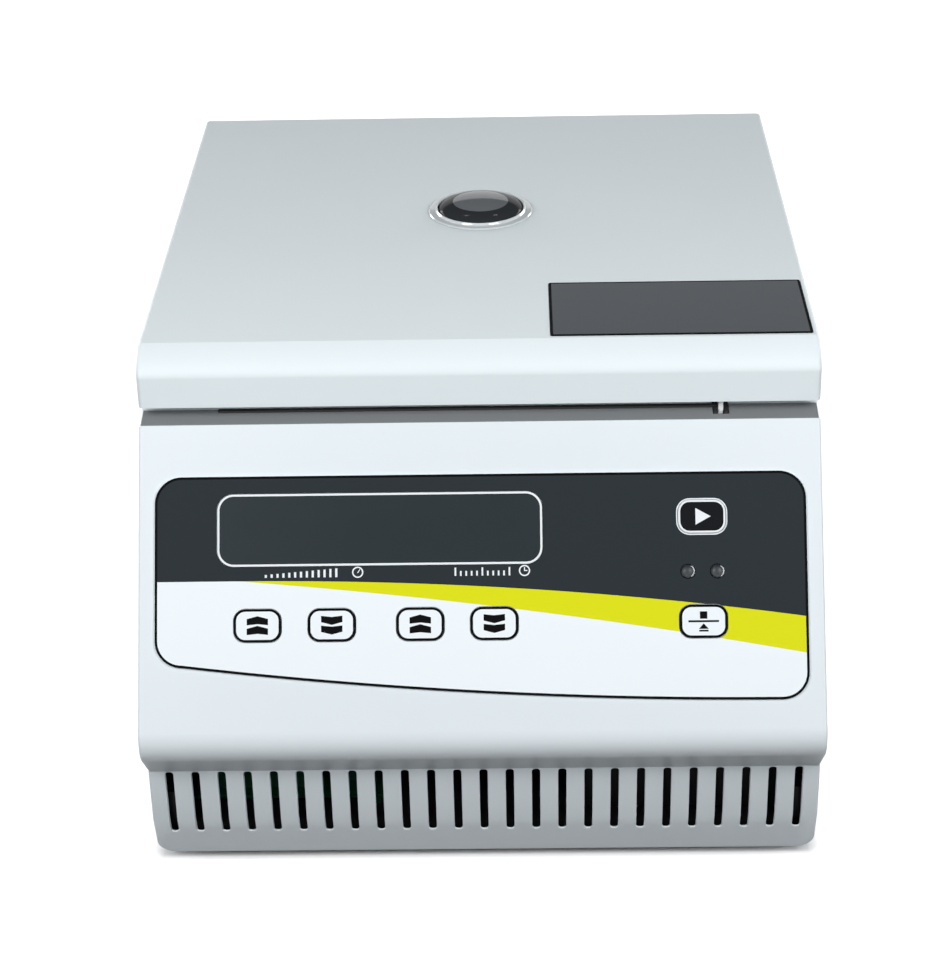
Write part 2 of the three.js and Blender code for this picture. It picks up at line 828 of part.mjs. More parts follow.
function makePowerInlet() {
  const flange = roundedShape(
    rectangle(
      -inletX - inletWidth / 2 - inletFlange,
      -inletX + inletWidth / 2 + inletFlange,
      inletBottom - inletFlange,
      inletBottom + inletHeight + inletFlange,
      inletFlange,
    ),
  );
  const body = block(
    [inletX - inletWidth / 2, inletX + inletWidth / 2],
    [rearPanelY - inletDepth, inletFaceY - seat],
    [inletBottom, inletBottom + inletHeight],
  );
  const socket = new THREE.Shape([
    new THREE.Vector2(-inletX - socketWidth / 2, socketZ - socketHeight / 2),
    new THREE.Vector2(-inletX + socketWidth / 2, socketZ - socketHeight / 2),
    new THREE.Vector2(-inletX + socketWidth / 2, socketZ + socketHeight / 2 - socketChamfer),
    new THREE.Vector2(-inletX + socketWidth / 2 - socketChamfer, socketZ + socketHeight / 2),
    new THREE.Vector2(-inletX - socketWidth / 2 + socketChamfer, socketZ + socketHeight / 2),
    new THREE.Vector2(-inletX - socketWidth / 2, socketZ + socketHeight / 2 - socketChamfer),
  ]);
  const contacts = [-contactSpacing, 0, contactSpacing].map((offset) => {
    const middle = socketZ + (offset ? -contactOffset : contactOffset);
    return block(
      [inletX + offset - contactWidth / 2, inletX + offset + contactWidth / 2],
      [inletFaceY - socketDepth - overrun, inletFaceY - socketDepth + contactLength],
      [middle - contactHeight / 2, middle + contactHeight / 2],
    );
  });
  const drawerSlot = block(
    [inletX - drawerWidth / 2 - slip, inletX + drawerWidth / 2 + slip],
    [inletFaceY - drawerDepth - slip, inletFaceY + overrun],
    [drawerZ - drawerHeight / 2 - slip, drawerZ + drawerHeight / 2 + slip],
  );
  const hollowed = cut(
    join(body, backwards(flange, [rearPanelY + seat, inletFaceY], 3)),
    backwards(socket, [inletFaceY - socketDepth, inletFaceY + overrun]),
    drawerSlot,
  );
  return join(hollowed, ...contacts);
}

function makeFuseDrawer() {
  const tray = block(
    [inletX - drawerWidth / 2, inletX + drawerWidth / 2],
    [inletFaceY - drawerDepth, inletFaceY + drawerLip],
    [drawerZ - drawerHeight / 2, drawerZ + drawerHeight / 2],
  );
  const fuseBay = block(
    [inletX - drawerWidth / 2 + drawerLip, inletX + drawerWidth / 2 - drawerLip],
    [inletFaceY - drawerDepth + drawerLip, inletFaceY - drawerLip],
    [drawerZ, drawerZ + drawerHeight / 2 + overrun],
  );
  const pull = block(
    [inletX - drawerWidth / 4, inletX + drawerWidth / 4],
    [inletFaceY + drawerLip / 2, inletFaceY + drawerLip + overrun],
    [drawerZ + drawerHeight / 4, drawerZ + drawerHeight / 2 + overrun],
  );
  return cut(tray, fuseBay, pull);
}

// Rocker switch: a hollow bezel in the panel and a rocker on a pivot across it

const switchFaceY = rearPanelY + seat + switchFlangeThickness;
const rockerHalfHeight = switchHeight / 2 - switchWall - rockerEndGap;
const rockerHalfWidth = switchWidth / 2 - switchWall - slip;
const rockerPivotY = switchFaceY - rockerThickness / 2;

function makeSwitchBezel() {
  const flange = roundedShape(
    rectangle(
      -switchX - switchWidth / 2 - switchFlange,
      -switchX + switchWidth / 2 + switchFlange,
      inletMiddle - switchHeight / 2 - switchFlange,
      inletMiddle + switchHeight / 2 + switchFlange,
      switchFlange,
    ),
  );
  const body = block(
    [switchX - switchWidth / 2, switchX + switchWidth / 2],
    [rearPanelY - switchDepth, switchFaceY - seat],
    [inletMiddle - switchHeight / 2, inletMiddle + switchHeight / 2],
  );
  const well = block(
    [switchX - switchWidth / 2 + switchWall, switchX + switchWidth / 2 - switchWall],
    [rearPanelY - switchDepth + switchWall, switchFaceY + overrun],
    [inletMiddle - switchHeight / 2 + switchWall, inletMiddle + switchHeight / 2 - switchWall],
  );
  const pivotHole = rodAlongX(
    rockerPivotRadius + seat,
    [switchX - switchWidth / 2 - overrun, switchX + switchWidth / 2 + overrun],
    tinySides,
    [rockerPivotY, inletMiddle],
  );
  return cut(join(body, backwards(flange, [rearPanelY + seat, switchFaceY], 3)), well, pivotHole);
}

// The rocker in its own frame: the pivot is at the origin, and its lower half stands out at rest
function makeRocker() {
  const face = rockerThickness / 2;
  const fall = rockerHalfHeight * Math.tan(THREE.MathUtils.degToRad(rockerTilt));
  const profile = new THREE.Shape([
    new THREE.Vector2(-face, -rockerHalfHeight + rockerRise),
    new THREE.Vector2(face - fall / 2, -rockerHalfHeight),
    new THREE.Vector2(face + fall + rockerRise / 2, -rockerHalfHeight),
    new THREE.Vector2(face + rockerRise / 4, 0),
    new THREE.Vector2(face + fall + rockerRise / 2, rockerHalfHeight),
    new THREE.Vector2(face - fall / 2, rockerHalfHeight),
    new THREE.Vector2(-face, rockerHalfHeight - rockerRise),
  ]);
  const body = sideways(profile, [-rockerHalfWidth, rockerHalfWidth]);
  const reach = switchWidth / 2 - slip;
  return join(body, rodAlongX(rockerPivotRadius, [-reach, reach], tinySides, [0, 0]));
}

// Bowl: a spun pan with a flange on the deck and a hole for the shaft

function makeBowl() {
  const top = deckZ + seat + bowlWall;
  const outerRadius = bowlRadius + bowlWall;
  const inner = quarter(bowlRadius - bowlCorner, chamberFloor + bowlCorner, bowlCorner);
  const outer = quarter(bowlRadius - bowlCorner, chamberFloor + bowlCorner, bowlCorner + bowlWall);
  return turned(
    [
      [bowlHoleRadius, bowlZ],
      ...outer,
      [outerRadius, deckZ + seat],
      [flangeRadius, deckZ + seat],
      [flangeRadius, top],
      [bowlRadius, top],
      ...inner.reverse(),
      [bowlHoleRadius, chamberFloor],
    ],
    bigSides,
  );
}

// Points on the lower outer quarter of a circle, as [radius, z], from its foot to its side
function quarter(centreRadius, centreZ, radius, steps = 2) {
  return Array.from({ length: steps + 1 }, (_, i) => {
    const angle = (i / steps) * (Math.PI / 2);
    return [centreRadius + radius * Math.sin(angle), centreZ - radius * Math.cos(angle)];
  });
}

function makeSeal() {
  const z = sealZ;
  const outer = flangeRadius - seat;
  return turned(
    [
      [outer - sealWidth, z],
      [outer, z],
      [outer, z + sealHeight - sealLip],
      [outer - sealWidth / 2, z + sealHeight],
      [outer - sealWidth, z + sealHeight - sealLip],
    ],
    bigSides,
  );
}

// Rubber boot between the motor's boss and the bowl's floor
function makeBoot() {
  const low = motorTopZ + motorTopHeight + seat;
  const high = bowlZ - seat;
  const middle = (low + high) / 2;
  const inner = motorBossRadius + slip;
  return turned(
    [
      [inner, low],
      [inner + bootWall, low],
      [inner + 2 * bootWall, middle],
      [inner + bootWall, high],
      [inner, high],
      [inner + bootWall, middle],
    ],
    midSides,
  );
}

// Motor frame: a plate on four legs, with a hole that the motor hangs through

const framePlateZ = motorTopZ - mountHeight - 2 * seat - framePlate;

function makeMotorFrame() {
  const legInset = frameHalfWidth - frameLeg;
  const corners = rectangle(-frameHalfWidth, frameHalfWidth, -frameHalfWidth, frameHalfWidth, frameLeg);
  const legs = [-1, 1].flatMap((side) =>
    [-1, 1].map((end) => {
      const [x, y] = [side * (legInset - framePlate), end * (legInset - framePlate)];
      const leg = block(
        [x - frameLeg / 2, x + frameLeg / 2],
        [y - frameLeg / 2, y + frameLeg / 2],
        [baseTop + seat, framePlateZ + framePlate / 2],
      );
      const toe = block(
        [x - frameLeg, x + frameLeg],
        [y - frameLeg, y + frameLeg],
        [baseTop + seat, baseTop + seat + framePlate],
      );
      return join(leg, toe);
    }),
  );
  const top = plate(roundedShape(corners), [framePlateZ, framePlateZ + framePlate], 3);
  const hole = rod(frameHole, [framePlateZ - overrun, framePlateZ + framePlate + overrun], midSides);
  return join(cut(top, hole), ...legs);
}

const mountPlaces = around(mountCount, (angle) => [
  motorEarReach * Math.sin(angle),
  motorEarReach * Math.cos(angle),
]);

function makeMount() {
  const z = framePlateZ + framePlate + seat;
  return turned(
    [
      [0, z],
      [mountRadius, z],
      [mountRadius, z + mountWaist],
      [mountRadius - mountWaist, z + mountHeight / 2],
      [mountRadius, z + mountHeight - mountWaist],
      [mountRadius, z + mountHeight],
      [0, z + mountHeight],
    ],
    smallSides,
  );
}

function makeMotorTop() {
  const z = [motorTopZ, motorTopZ + motorTopHeight];
  const earZ = [motorTopZ, motorTopZ + motorTopHeight / 2];
  const ears = mountPlaces.map(([x, y]) => {
    const arm = block([-motorEarRadius, motorEarRadius], [0, motorEarReach], earZ);
    return join(rod(motorEarRadius, earZ, smallSides, [x, y]), arm.rotateZ(-Math.atan2(x, y)));
  });
  const boss = rod(motorBossRadius, [motorTopZ, z[1] + motorBossHeight], midSides);
  const bearingPocket = rod(
    bearingRadius + seat,
    [z[1] + motorBossHeight - bearingWidth - seat, z[1] + motorBossHeight + overrun],
    smallSides,
  );
  const bore = rod(shaftRadius + slip, [motorTopZ - overrun, z[1] + motorBossHeight + overrun], smallSides);
  return cut(join(rod(motorRadius, z, midSides), boss, ...ears), bearingPocket, bore);
}

function makeMotorCan() {
  const windows = around(motorVents, (angle) =>
    block(
      [-motorVentRadius, motorVentRadius],
      [motorRadius - 2 * motorVentRadius, motorRadius + overrun],
      [canZ + motorVentRadius, canZ + 3 * motorVentRadius],
    ).rotateZ(angle),
  );
  return cut(
    rod(motorRadius, [canZ, canZ + motorCanHeight], midSides),
    rod(shaftRadius + 2 * slip, [canZ - overrun, canZ + motorCanHeight + overrun], smallSides),
    ...windows,
  );
}

function makeMotorBottom() {
  const z = [motorZ, motorZ + motorBottomHeight];
  const pocket = rod(bearingRadius + seat, [z[0] - overrun, z[0] + bearingWidth + seat], smallSides);
  const bore = rod(shaftRadius + slip, [z[0] - overrun, z[1] + overrun], smallSides);
  const ring = (bearingRadius + seat + motorRadius) / 2;
  const vents = around(motorVents, (angle) =>
    rod(motorVentRadius, [z[0] - overrun, z[1] + overrun], tinySides, [
      ring * Math.sin(angle),
      ring * Math.cos(angle),
    ]),
  );
  return cut(rod(motorRadius, z, midSides), pocket, bore, ...vents);
}

function makeBearing(z) {
  const middle = (bearingRadius + shaftRadius) / 2;
  const groove = bearingWidth / 10;
  return turned(
    [
      [shaftRadius + seat, z],
      [middle - groove, z],
      [middle, z + groove],
      [middle + groove, z],
      [bearingRadius, z],
      [bearingRadius, z + bearingWidth],
      [shaftRadius + seat, z + bearingWidth],
    ],
    smallSides,
  );
}

// Spindle: everything that turns with the shaft, on the chamber's axis

function makeShaft() {
  const shoulder = rotorZ + rotorWeb;
  const stud = shoulder + rotorBossHeight;
  return turned(
    [
      [0, fanZ - seat],
      [shaftRadius, fanZ - seat],
      [shaftRadius, shoulder],
      [studRadius, shoulder],
      [studRadius, stud + studRise - studRadius / 4],
      [studRadius - studRadius / 4, stud + studRise],
      [0, stud + studRise],
    ],
    smallSides,
  );
}

function makeFan() {
  const disc = turned(
    [
      [shaftRadius + seat, fanZ],
      [fanHubRadius, fanZ],
      [fanHubRadius, fanZ + fanHeight - fanDisc],
      [fanRadius, fanZ + fanHeight - fanDisc],
      [fanRadius, fanZ + fanHeight],
      [shaftRadius + seat, fanZ + fanHeight],
    ],
    midSides,
  );
  const blades = around(fanBlades, (angle) =>
    block(
      [-fanBladeWall / 2, fanBladeWall / 2],
      [fanHubRadius + fanBladeInset, fanRadius - fanBladeWall],
      [fanZ, fanZ + fanHeight - fanDisc / 2],
    ).rotateZ(angle),
  );
  return join(disc, ...blades);
}

const bedZ = rotorZ + rotorWeb;
const rimInside = rotorRadius - rotorRimWall;

function makeRotorDisc() {
  const profile = [
    [shaftRadius + seat, rotorZ - rotorHubDrop],
    [rotorHubRadius, rotorZ - rotorHubDrop],
    [rotorHubRadius, rotorZ],
    [rotorRadius - rotorWeb / 2, rotorZ],
    [rotorRadius, rotorZ + rotorWeb / 2],
    [rotorRadius, bedZ + rotorRimHeight],
    [rimInside, bedZ + rotorRimHeight],
    [rimInside, bedZ],
    [rotorBossRadius, bedZ],
    [rotorBossRadius, bedZ + rotorBossHeight],
    [studRadius + seat, bedZ + rotorBossHeight],
    [studRadius + seat, bedZ + seat],
    [shaftRadius + seat, bedZ + seat],
  ];
  const grooveEnd = rimInside - rotorRingWidth - 2 * seat;
  const grooves = around(rotorGrooves, (angle) =>
    block(
      [-grooveWidth / 2, grooveWidth / 2],
      [grooveStart, grooveEnd],
      [bedZ - grooveDepth, bedZ + overrun],
    ).rotateZ(angle),
  );
  return cut(turned(profile, rotorSides), ...grooves);
}

function makeRotorRing() {
  const outer = rimInside - seat;
  return turned(
    [
      [outer - rotorRingWidth, bedZ + seat],
      [outer, bedZ + seat],
      [outer, bedZ + rotorRingHeight],
      [outer - rotorRingWidth, bedZ + rotorRingHeight],
    ],
    rotorSides,
  );
}

const coverZ = bedZ + Math.max(rotorRingHeight, rotorBossHeight) + seat;

function makeRotorCover() {
  const outer = rimInside - slip;
  const rise = coverZ + coverDishHeight;
  return turned(
    [
      [coverHoleRadius, rise],
      [coverDishRadius - coverDishHeight, rise],
      [coverDishRadius, coverZ],
      [outer, coverZ],
      [outer, coverZ + coverThickness],
      [coverDishRadius, coverZ + coverThickness],
      [coverDishRadius - coverDishHeight, rise + coverThickness],
      [coverHoleRadius, rise + coverThickness],
    ],
    rotorSides,
  );
}

// The knob screws onto the stud: a lobed grip on a flange, with a neck through the cover
function makeRotorKnob() {
  const low = coverZ + coverDishHeight + coverThickness + seat;
  const scallops = around(knobLobes, (angle) =>
    rod(knobScallop, [low + knobFlange, low + knobHeight + overrun], tinySides, [
      (knobRadius + knobScallop / 2) * Math.sin(angle),
      (knobRadius + knobScallop / 2) * Math.cos(angle),
    ]),
  );
  const neckZ = bedZ + rotorBossHeight + seat;
  const body = turned(
    [
      [0, neckZ],
      [coverHoleRadius - slip, neckZ],
      [coverHoleRadius - slip, low],
      [knobRadius, low],
      [knobRadius, low + knobHeight - knobFlange],
      [knobRadius - knobFlange, low + knobHeight],
      [0, low + knobHeight],
    ],
    midSides,
  );
  const bore = rod(
    studRadius + slip,
    [neckZ - overrun, bedZ + rotorBossHeight + studRise + slip],
    smallSides,
  );
  return cut(body, bore, ...scallops);
}

// Control panel pieces, in the panel's own frame

function makeOverlay() {
  const [half, high] = [overlayWidth / 2, overlayHeight / 2];
  const corner = overlayCorner;
  const shape = new THREE.Shape();
  shape.moveTo(-half + corner, high);
  shape.absarc(-half + corner, high - corner, corner, Math.PI / 2, Math.PI, false);
  shape.absarc(-half + corner, -high + overlayRise + corner, corner, Math.PI, 1.5 * Math.PI, false);
  shape.quadraticCurveTo(0, -high, half - corner, -high);
  shape.absarc(half - corner, -high + corner, corner, -Math.PI / 2, 0, false);
  shape.absarc(half - corner, high - corner, corner, 0, Math.PI / 2, false);
  shape.closePath();
  const through = [-overrun, overrun + overlayThickness];
  const hole = (across, up, wide, tall, radius) =>
    plate(
      roundedShape(
        rectangle(across - wide / 2, across + wide / 2, up - tall / 2, up + tall / 2, radius),
      ),
      through,
      1,
    );
  return cut(
    plate(shape, [seat, seat + overlayThickness], 4),
    hole(windowAcross, windowUp, windowWidth, windowHeight, windowCorner),
    ...keys.map(({ across, up }) => hole(across, up, keyWidth, keyHeight, keyCorner)),
    ...lamps.map(({ across, up }) => rod(lampRadius + seat, through, tinySides, [across, up])),
  );
}

function makeWindow() {
  const [wide, high] = [windowWidth / 2 - seat, windowHeight / 2 - seat];
  const corners = rectangle(
    windowAcross - wide,
    windowAcross + wide,
    windowUp - high,
    windowUp + high,
    windowCorner - seat,
  );
  const face = seat + overlayThickness;
  return plate(roundedShape(corners), [face - windowThickness, face], 1);
}

const boardFace = -boardDepth;

function makeKey() {
  const [wide, high] = [keyWidth / 2 - seat, keyHeight / 2 - seat];
  const cap = plate(
    roundedShape(rectangle(-wide, wide, -high, high, keyCorner - seat)),
    [keyTravelGap, keyTravelGap + keyRise],
    1,
  );
  const stem = block(
    [-keyStemWidth / 2, keyStemWidth / 2],
    [-keyStemHeight / 2, keyStemHeight / 2],
    [boardFace + switchBlockHeight + keyTravelGap, keyTravelGap + keyRise / 2],
  );
  return join(cap, stem);
}

// A lamp's lens, from the board to a low dome in front of the overlay
function makeLamp() {
  const face = seat + overlayThickness;
  return turned(
    [
      [0, boardFace + seat],
      [lampRadius, boardFace + seat],
      [lampRadius, face],
      [lampRadius * Math.cos(Math.PI / 6), face + lampDome / 2],
      [lampRadius * Math.cos(Math.PI / 3), face + lampDome * Math.sin(Math.PI / 3)],
      [0, face + lampDome],
    ],
    tinySides,
  );
}

function makeControlBoard() {
  const half = boardWidth / 2;
  const [low, high] = [boardUp - boardHeight / 2, boardUp + boardHeight / 2];
  const board = block([-half, half], [low, high], [boardFace - boardThickness, boardFace]);
  const switches = keys.map(({ across, up }) =>
    join(
      block(
        [across - switchBlock / 2, across + switchBlock / 2],
        [up - switchBlock / 2, up + switchBlock / 2],
        [boardFace - boardThickness / 2, boardFace + switchBlockHeight / 2],
      ),
      rod(switchButtonRadius, [boardFace, boardFace + switchBlockHeight], tinySides, [across, up]),
    ),
  );
  const chip = block(
    [windowAcross - chipLength / 2, windowAcross + chipLength / 2],
    [low + boardPartInset, low + boardPartInset + chipLength],
    [boardFace - boardThickness - chipThickness, boardFace - boardThickness / 2],
  );
  const plugSocket = block(
    [half - plugInset - plugLength, half - plugInset],
    [low + boardPartInset, low + boardPartInset + plugDepth],
    [boardFace - boardThickness - plugDepth, boardFace - boardThickness / 2],
  );
  return join(board, chip, plugSocket, ...switches);
}

// The digit display: a frame round a sunk face, between the board and the window
function makeDisplayModule() {
  const [wide, high] = [moduleWidth / 2, moduleHeight / 2];
  const top = seat + overlayThickness - windowThickness - seat;
  const body = block(
    [windowAcross - wide, windowAcross + wide],
    [windowUp - high, windowUp + high],
    [boardFace + seat, top],
  );
  const well = (left, right) =>
    block(
      [left, right],
      [windowUp - high + moduleFrame, windowUp + high - moduleFrame],
      [top - moduleRecess, top + overrun],
    );
  return cut(
    body,
    well(windowAcross - wide + moduleFrame, windowAcross + wide / 4 - moduleFrame / 2),
    well(windowAcross + wide / 4 + moduleFrame / 2, windowAcross + wide - moduleFrame),
  );
}

// Lid pieces, in a frame on the hinge axis

const fromHinge = ([y, z]) => [y - hingeY, z - hingeZ];

function lidOutline(wall, below) {
  const [front, top] = fromHinge([creaseY - lidNose + wall, lidTop - wall]);
  const low = lidZ - hingeZ - below;
  const browY = creaseY - hingeY + wall / 2;
  const rear = rearY - hingeY - wall;
  const bend = lidZ - hingeZ + lidFrontHeight;
  const corner = lidRearRadius - wall / 2;
  const shape = new THREE.Shape();
  shape.moveTo(rear, low);
  shape.lineTo(rear, top - corner);
  shape.absarc(rear - corner, top - corner, corner, 0, Math.PI / 2, false);
  shape.lineTo(browY, top);
  shape.quadraticCurveTo(front, bend + lidBrow - wall, front, bend - wall);
  shape.lineTo(front, low);
  shape.closePath();
  return shape;
}

const chamberFromHinge = chamberY - hingeY;
const plateRight = width / 2 - plateSideGap;
const plateFront = creaseY + plateFrontGap - hingeY;

function makeLidShell() {
  const outer = sideways(lidOutline(0, 0), [-width / 2, width / 2], lidEdge, 6);
  const hollow = sideways(lidOutline(lidWall, overrun), [-width / 2 + lidWall, width / 2 - lidWall], 0, 5);
  const top = lidTop - hingeZ;
  const glassHole = rod(glassRadius + seat, [top - lidWall - overrun, top + overrun], midSides, [
    0,
    chamberFromHinge,
  ]);
  const plateBed = block(
    [plateRight - plateWidth - seat, plateRight + seat],
    [plateFront - seat, plateFront + plateDepth + seat],
    [top + plateProud - plateThickness - seat, top + overrun],
  );
  return cut(outer, hollow, glassHole, plateBed);
}

function makeNamePlate() {
  const top = lidTop - hingeZ + plateProud;
  return block(
    [plateRight - plateWidth, plateRight],
    [plateFront, plateFront + plateDepth],
    [top - plateThickness, top],
  );
}

const linerFront = creaseY - lidNose + lidWall + seat;

function makeLiner() {
  const half = width / 2 - lidWall - seat;
  const [low, high] = [linerZ - hingeZ, linerZ - hingeZ + linerThickness];
  const ends = [linerFront - hingeY, rearY - lidWall - seat - hingeY];
  const sheet = block([-half, half], ends, [low, high]);
  const rim = turned(
    [
      [flangeRadius + slip, low - linerRimDrop],
      [flangeRadius + slip + linerRimWall, low - linerRimDrop],
      [flangeRadius + slip + linerRimWall, high - linerThickness / 2],
      [flangeRadius + slip, high - linerThickness / 2],
    ],
    bigSides,
  ).translate(0, chamberFromHinge, 0);
  const glassHole = rod(glassRadius + seat, [low - overrun, high + overrun], midSides, [0, chamberFromHinge]);
  const hookSlot = block(
    [hookX - hookThickness / 2 - seat, hookX + hookThickness / 2 + seat],
    [hookFrontY - seat - hingeY, hookFrontY + hookWidth + seat - hingeY],
    [low - overrun, high + overrun],
  );
  return cut(join(sheet, rim), glassHole, hookSlot);
}

// Sight glass: a clear cup, mouth down, with a low dome
function makeSightGlass() {
  const [low, rim] = [linerZ, lidTop + ringHeight].map((z) => z - hingeZ);
  const inner = glassRadius - glassWall;
  const dome = (radius, base, rise) =>
    [0, 1, 2, 3].map((step) => {
      const share = 1 - step / 4;
      return [radius * share, base + rise * (1 - share * share)];
    });
  return turned(
    [
      [inner, low],
      [glassRadius, low],
      ...dome(glassRadius, rim, glassDome),
      [0, rim + glassDome],
      [0, rim + glassDome - glassWall],
      ...dome(inner, rim - glassWall / 2, glassDome - glassWall / 2).reverse(),
    ],
    midSides,
  ).translate(0, chamberFromHinge, 0);
}

// The bezel round the glass on the lid, and the nut that holds the glass from inside
function makeSightRing() {
  const low = lidTop + seat - hingeZ;
  const inner = glassRadius + seat;
  return turned(
    [
      [inner, low],
      [inner + ringWidth, low],
      [inner + ringWidth, low + ringHeight / 4],
      [inner + ringTopWidth, low + ringHeight],
      [inner, low + ringHeight],
    ],
    midSides,
  ).translate(0, chamberFromHinge, 0);
}

function makeSightNut() {
  const high = lidTop - lidWall - seat - hingeZ;
  const inner = glassRadius + seat;
  return turned(
    [
      [inner, high - nutHeight],
      [inner + nutWidth - seat, high - nutHeight],
      [inner + nutWidth - seat, high],
      [inner, high],
    ],
    midSides,
  ).translate(0, chamberFromHinge, 0);
}

function makeLatchHook() {
  const [front, back] = [hookFrontY - hingeY, hookFrontY + hookWidth - hingeY];
  const linerTop = linerZ + linerThickness + seat - hingeZ;
  const half = hookThickness / 2;
  const blade = block(
    [hookX - half, hookX + half],
    [front, back],
    [linerZ - hookDrop - hingeZ, linerTop + hookFootThickness / 2],
  );
  const foot = block(
    [hookX - hookFoot / 2, hookX + hookFoot / 2],
    [front, front + hookFoot],
    [linerTop, linerTop + hookFootThickness],
  );
  const windowTop = linerZ - hookWindowDrop - hingeZ;
  const opening = block(
    [hookX - half - overrun, hookX + half + overrun],
    [(front + back) / 2 - hookWindow / 2, (front + back) / 2 + hookWindow / 2],
    [windowTop - hookWindow, windowTop],
  );
  return cut(join(blade, foot), opening);
}

// Hinges: the lid's leaf has the middle knuckle, and the base leaf the two outer ones

const leafFace = -knuckleRadius;
const knuckleReach = hingeWidth / 6;

function hingeBore(x) {
  const ends = [x - hingeWidth / 2 - overrun, x + hingeWidth / 2 + overrun];
  return rodAlongX(hingePinRadius + slip / 2, ends, tinySides, [0, 0]);
}

function makeLidLeaf(x) {
  const leaf = block(
    [x - hingeWidth / 2, x + hingeWidth / 2],
    [leafFace, leafFace + hingeLeafThickness],
    [knuckleRadius, knuckleRadius + hingeLeafHeight],
  );
  const reach = [x - knuckleReach + slip / 2, x + knuckleReach - slip / 2];
  const web = block(reach, [leafFace, leafFace + hingeLeafThickness], [0, knuckleRadius + overrun]);
  const knuckle = rodAlongX(knuckleRadius, reach, smallSides, [0, 0]);
  return cut(join(leaf, web, knuckle), hingeBore(x));
}

function makeBaseLeaf(x) {
  const leaf = block(
    [x - hingeWidth / 2, x + hingeWidth / 2],
    [leafFace, leafFace + hingeLeafThickness],
    [-knuckleRadius - hingeLeafHeight, -knuckleRadius],
  );
  const knuckles = [-1, 1].map((side) => {
    const ends = [x + side * (knuckleReach + slip / 2), x + (side * hingeWidth) / 2];
    const reach = ends.sort((a, b) => a - b);
    const web = block(reach, [leafFace, leafFace + hingeLeafThickness], [-knuckleRadius - overrun, 0]);
    return join(web, rodAlongX(knuckleRadius, reach, smallSides, [0, 0]));
  });
  return cut(join(leaf, ...knuckles), hingeBore(x));
}

function makeHingePin(x) {
  const half = hingeWidth / 2;
  return join(
    rodAlongX(hingePinRadius, [x - half, x + half + seat], tinySides, [0, 0]),
    rodAlongX(hingePinHead, [x + half + seat, x + half + seat + hingePinHeadLength], tinySides, [0, 0]),
  );
}

// Lid lock

// The height of the shoulder's outer face, between the step under the lid and the panel
function shoulderHeight(y) {
  const share = (creaseY - ledgeReach - y) / (shoulderReach - ledgeReach);
  return deckZ - THREE.MathUtils.lerp(ledgeDrop, shoulderDrop, share);
}

function makeLatchGuide() {
  const [front, back] = [hookMiddleY - guideLength / 2, hookMiddleY + guideLength / 2];
  const profile = new THREE.Shape([
    new THREE.Vector2(front, lockTop + seat),
    new THREE.Vector2(back, lockTop + seat),
    new THREE.Vector2(back, deckZ + guideProud),
    new THREE.Vector2(creaseY - deckLip, deckZ + guideProud),
    new THREE.Vector2(creaseY - ledgeReach, deckZ - ledgeDrop + guideProud),
    new THREE.Vector2(front, shoulderHeight(front) + guideProud),
  ]);
  const slit = block(
    [hookX - hookThickness / 2 - slip, hookX + hookThickness / 2 + slip],
    [front - overrun, back - guideWidth / 4],
    [lockTop - overrun, deckZ + overrun],
  );
  return cut(sideways(profile, [hookX - guideWidth / 2, hookX + guideWidth / 2]), slit);
}

const lockX = [hookX - lockWidth / 2, hookX + lockWidth / 2];
const lockY = [hookMiddleY - lockLength / 2 + hookFrontGap, hookMiddleY + lockLength / 2 + hookFrontGap];
const boltFront = hookX + hookThickness / 2 + slip;

function makeLockBody() {
  const body = block(lockX, lockY, [lockTop - lockHeight, lockTop]);
  const hookWell = block(
    [hookX - hookThickness / 2 - lockHookSideGap, hookX + hookThickness / 2 + lockHookSideGap],
    [hookFrontY - lockHookEndGap, hookFrontY + hookWidth + lockHookEndGap],
    [linerZ - hookDrop - overrun, lockTop + overrun],
  );
  const boltBore = rodAlongX(
    boltRadius + slip,
    [hookX - boltReach, lockX[1] + overrun],
    smallSides,
    [hookMiddleY, boltZ],
  );
  const posts = [lockX[0] + lockPostRadius, lockX[1] - lockPostRadius].map((x) =>
    rod(lockPostRadius, [lockTop - lockPostRadius, deckZ - casingWall - seat], tinySides, [
      x,
      lockY[1] - lockPostRadius,
    ]),
  );
  return cut(join(body, ...posts), hookWell, boltBore);
}

// The bolt is a solenoid's plunger: its tip enters the hook's window, and its head is outside the coil
function makeLockBolt() {
  const tip = boltFront + slip;
  const end = tip + boltLength;
  return join(
    rodAlongX(boltRadius, [tip, end], smallSides, [hookMiddleY, boltZ]),
    rodAlongX(boltHeadRadius, [end - seat, end + boltHeadLength], smallSides, [hookMiddleY, boltZ]),
  );
}

// Electronics on the base plate

const supplyRight = width / 2 - casingWall - electronicsSideGap;
const supplyX = [supplyRight - supplyWidth, supplyRight];
const electronicsY = baseFrontY + electronicsFrontGap;

function makePowerSupply() {
  const y = [electronicsY, electronicsY + supplyDepth];
  const z = [baseTop + seat, baseTop + seat + supplyHeight];
  const box = block(supplyX, y, z);
  const inside = block(
    [supplyX[0] + supplyWall, supplyX[1] - supplyWall],
    [y[0] + supplyWall, y[1] - supplyWall],
    [z[0] + supplyWall, z[1] - supplyWall],
  );
  const vents = row(ventSlots, supplyWidth / (ventSlots + 1)).map((x) => {
    const middle = (supplyX[0] + supplyX[1]) / 2 + x;
    return block(
      [middle - ventWidth / 3, middle + ventWidth / 3],
      [y[0] + supplyDepth / 4, y[1] - supplyDepth / 4],
      [z[1] - supplyWall - overrun, z[1] + overrun],
    );
  });
  return cut(box, inside, ...vents);
}

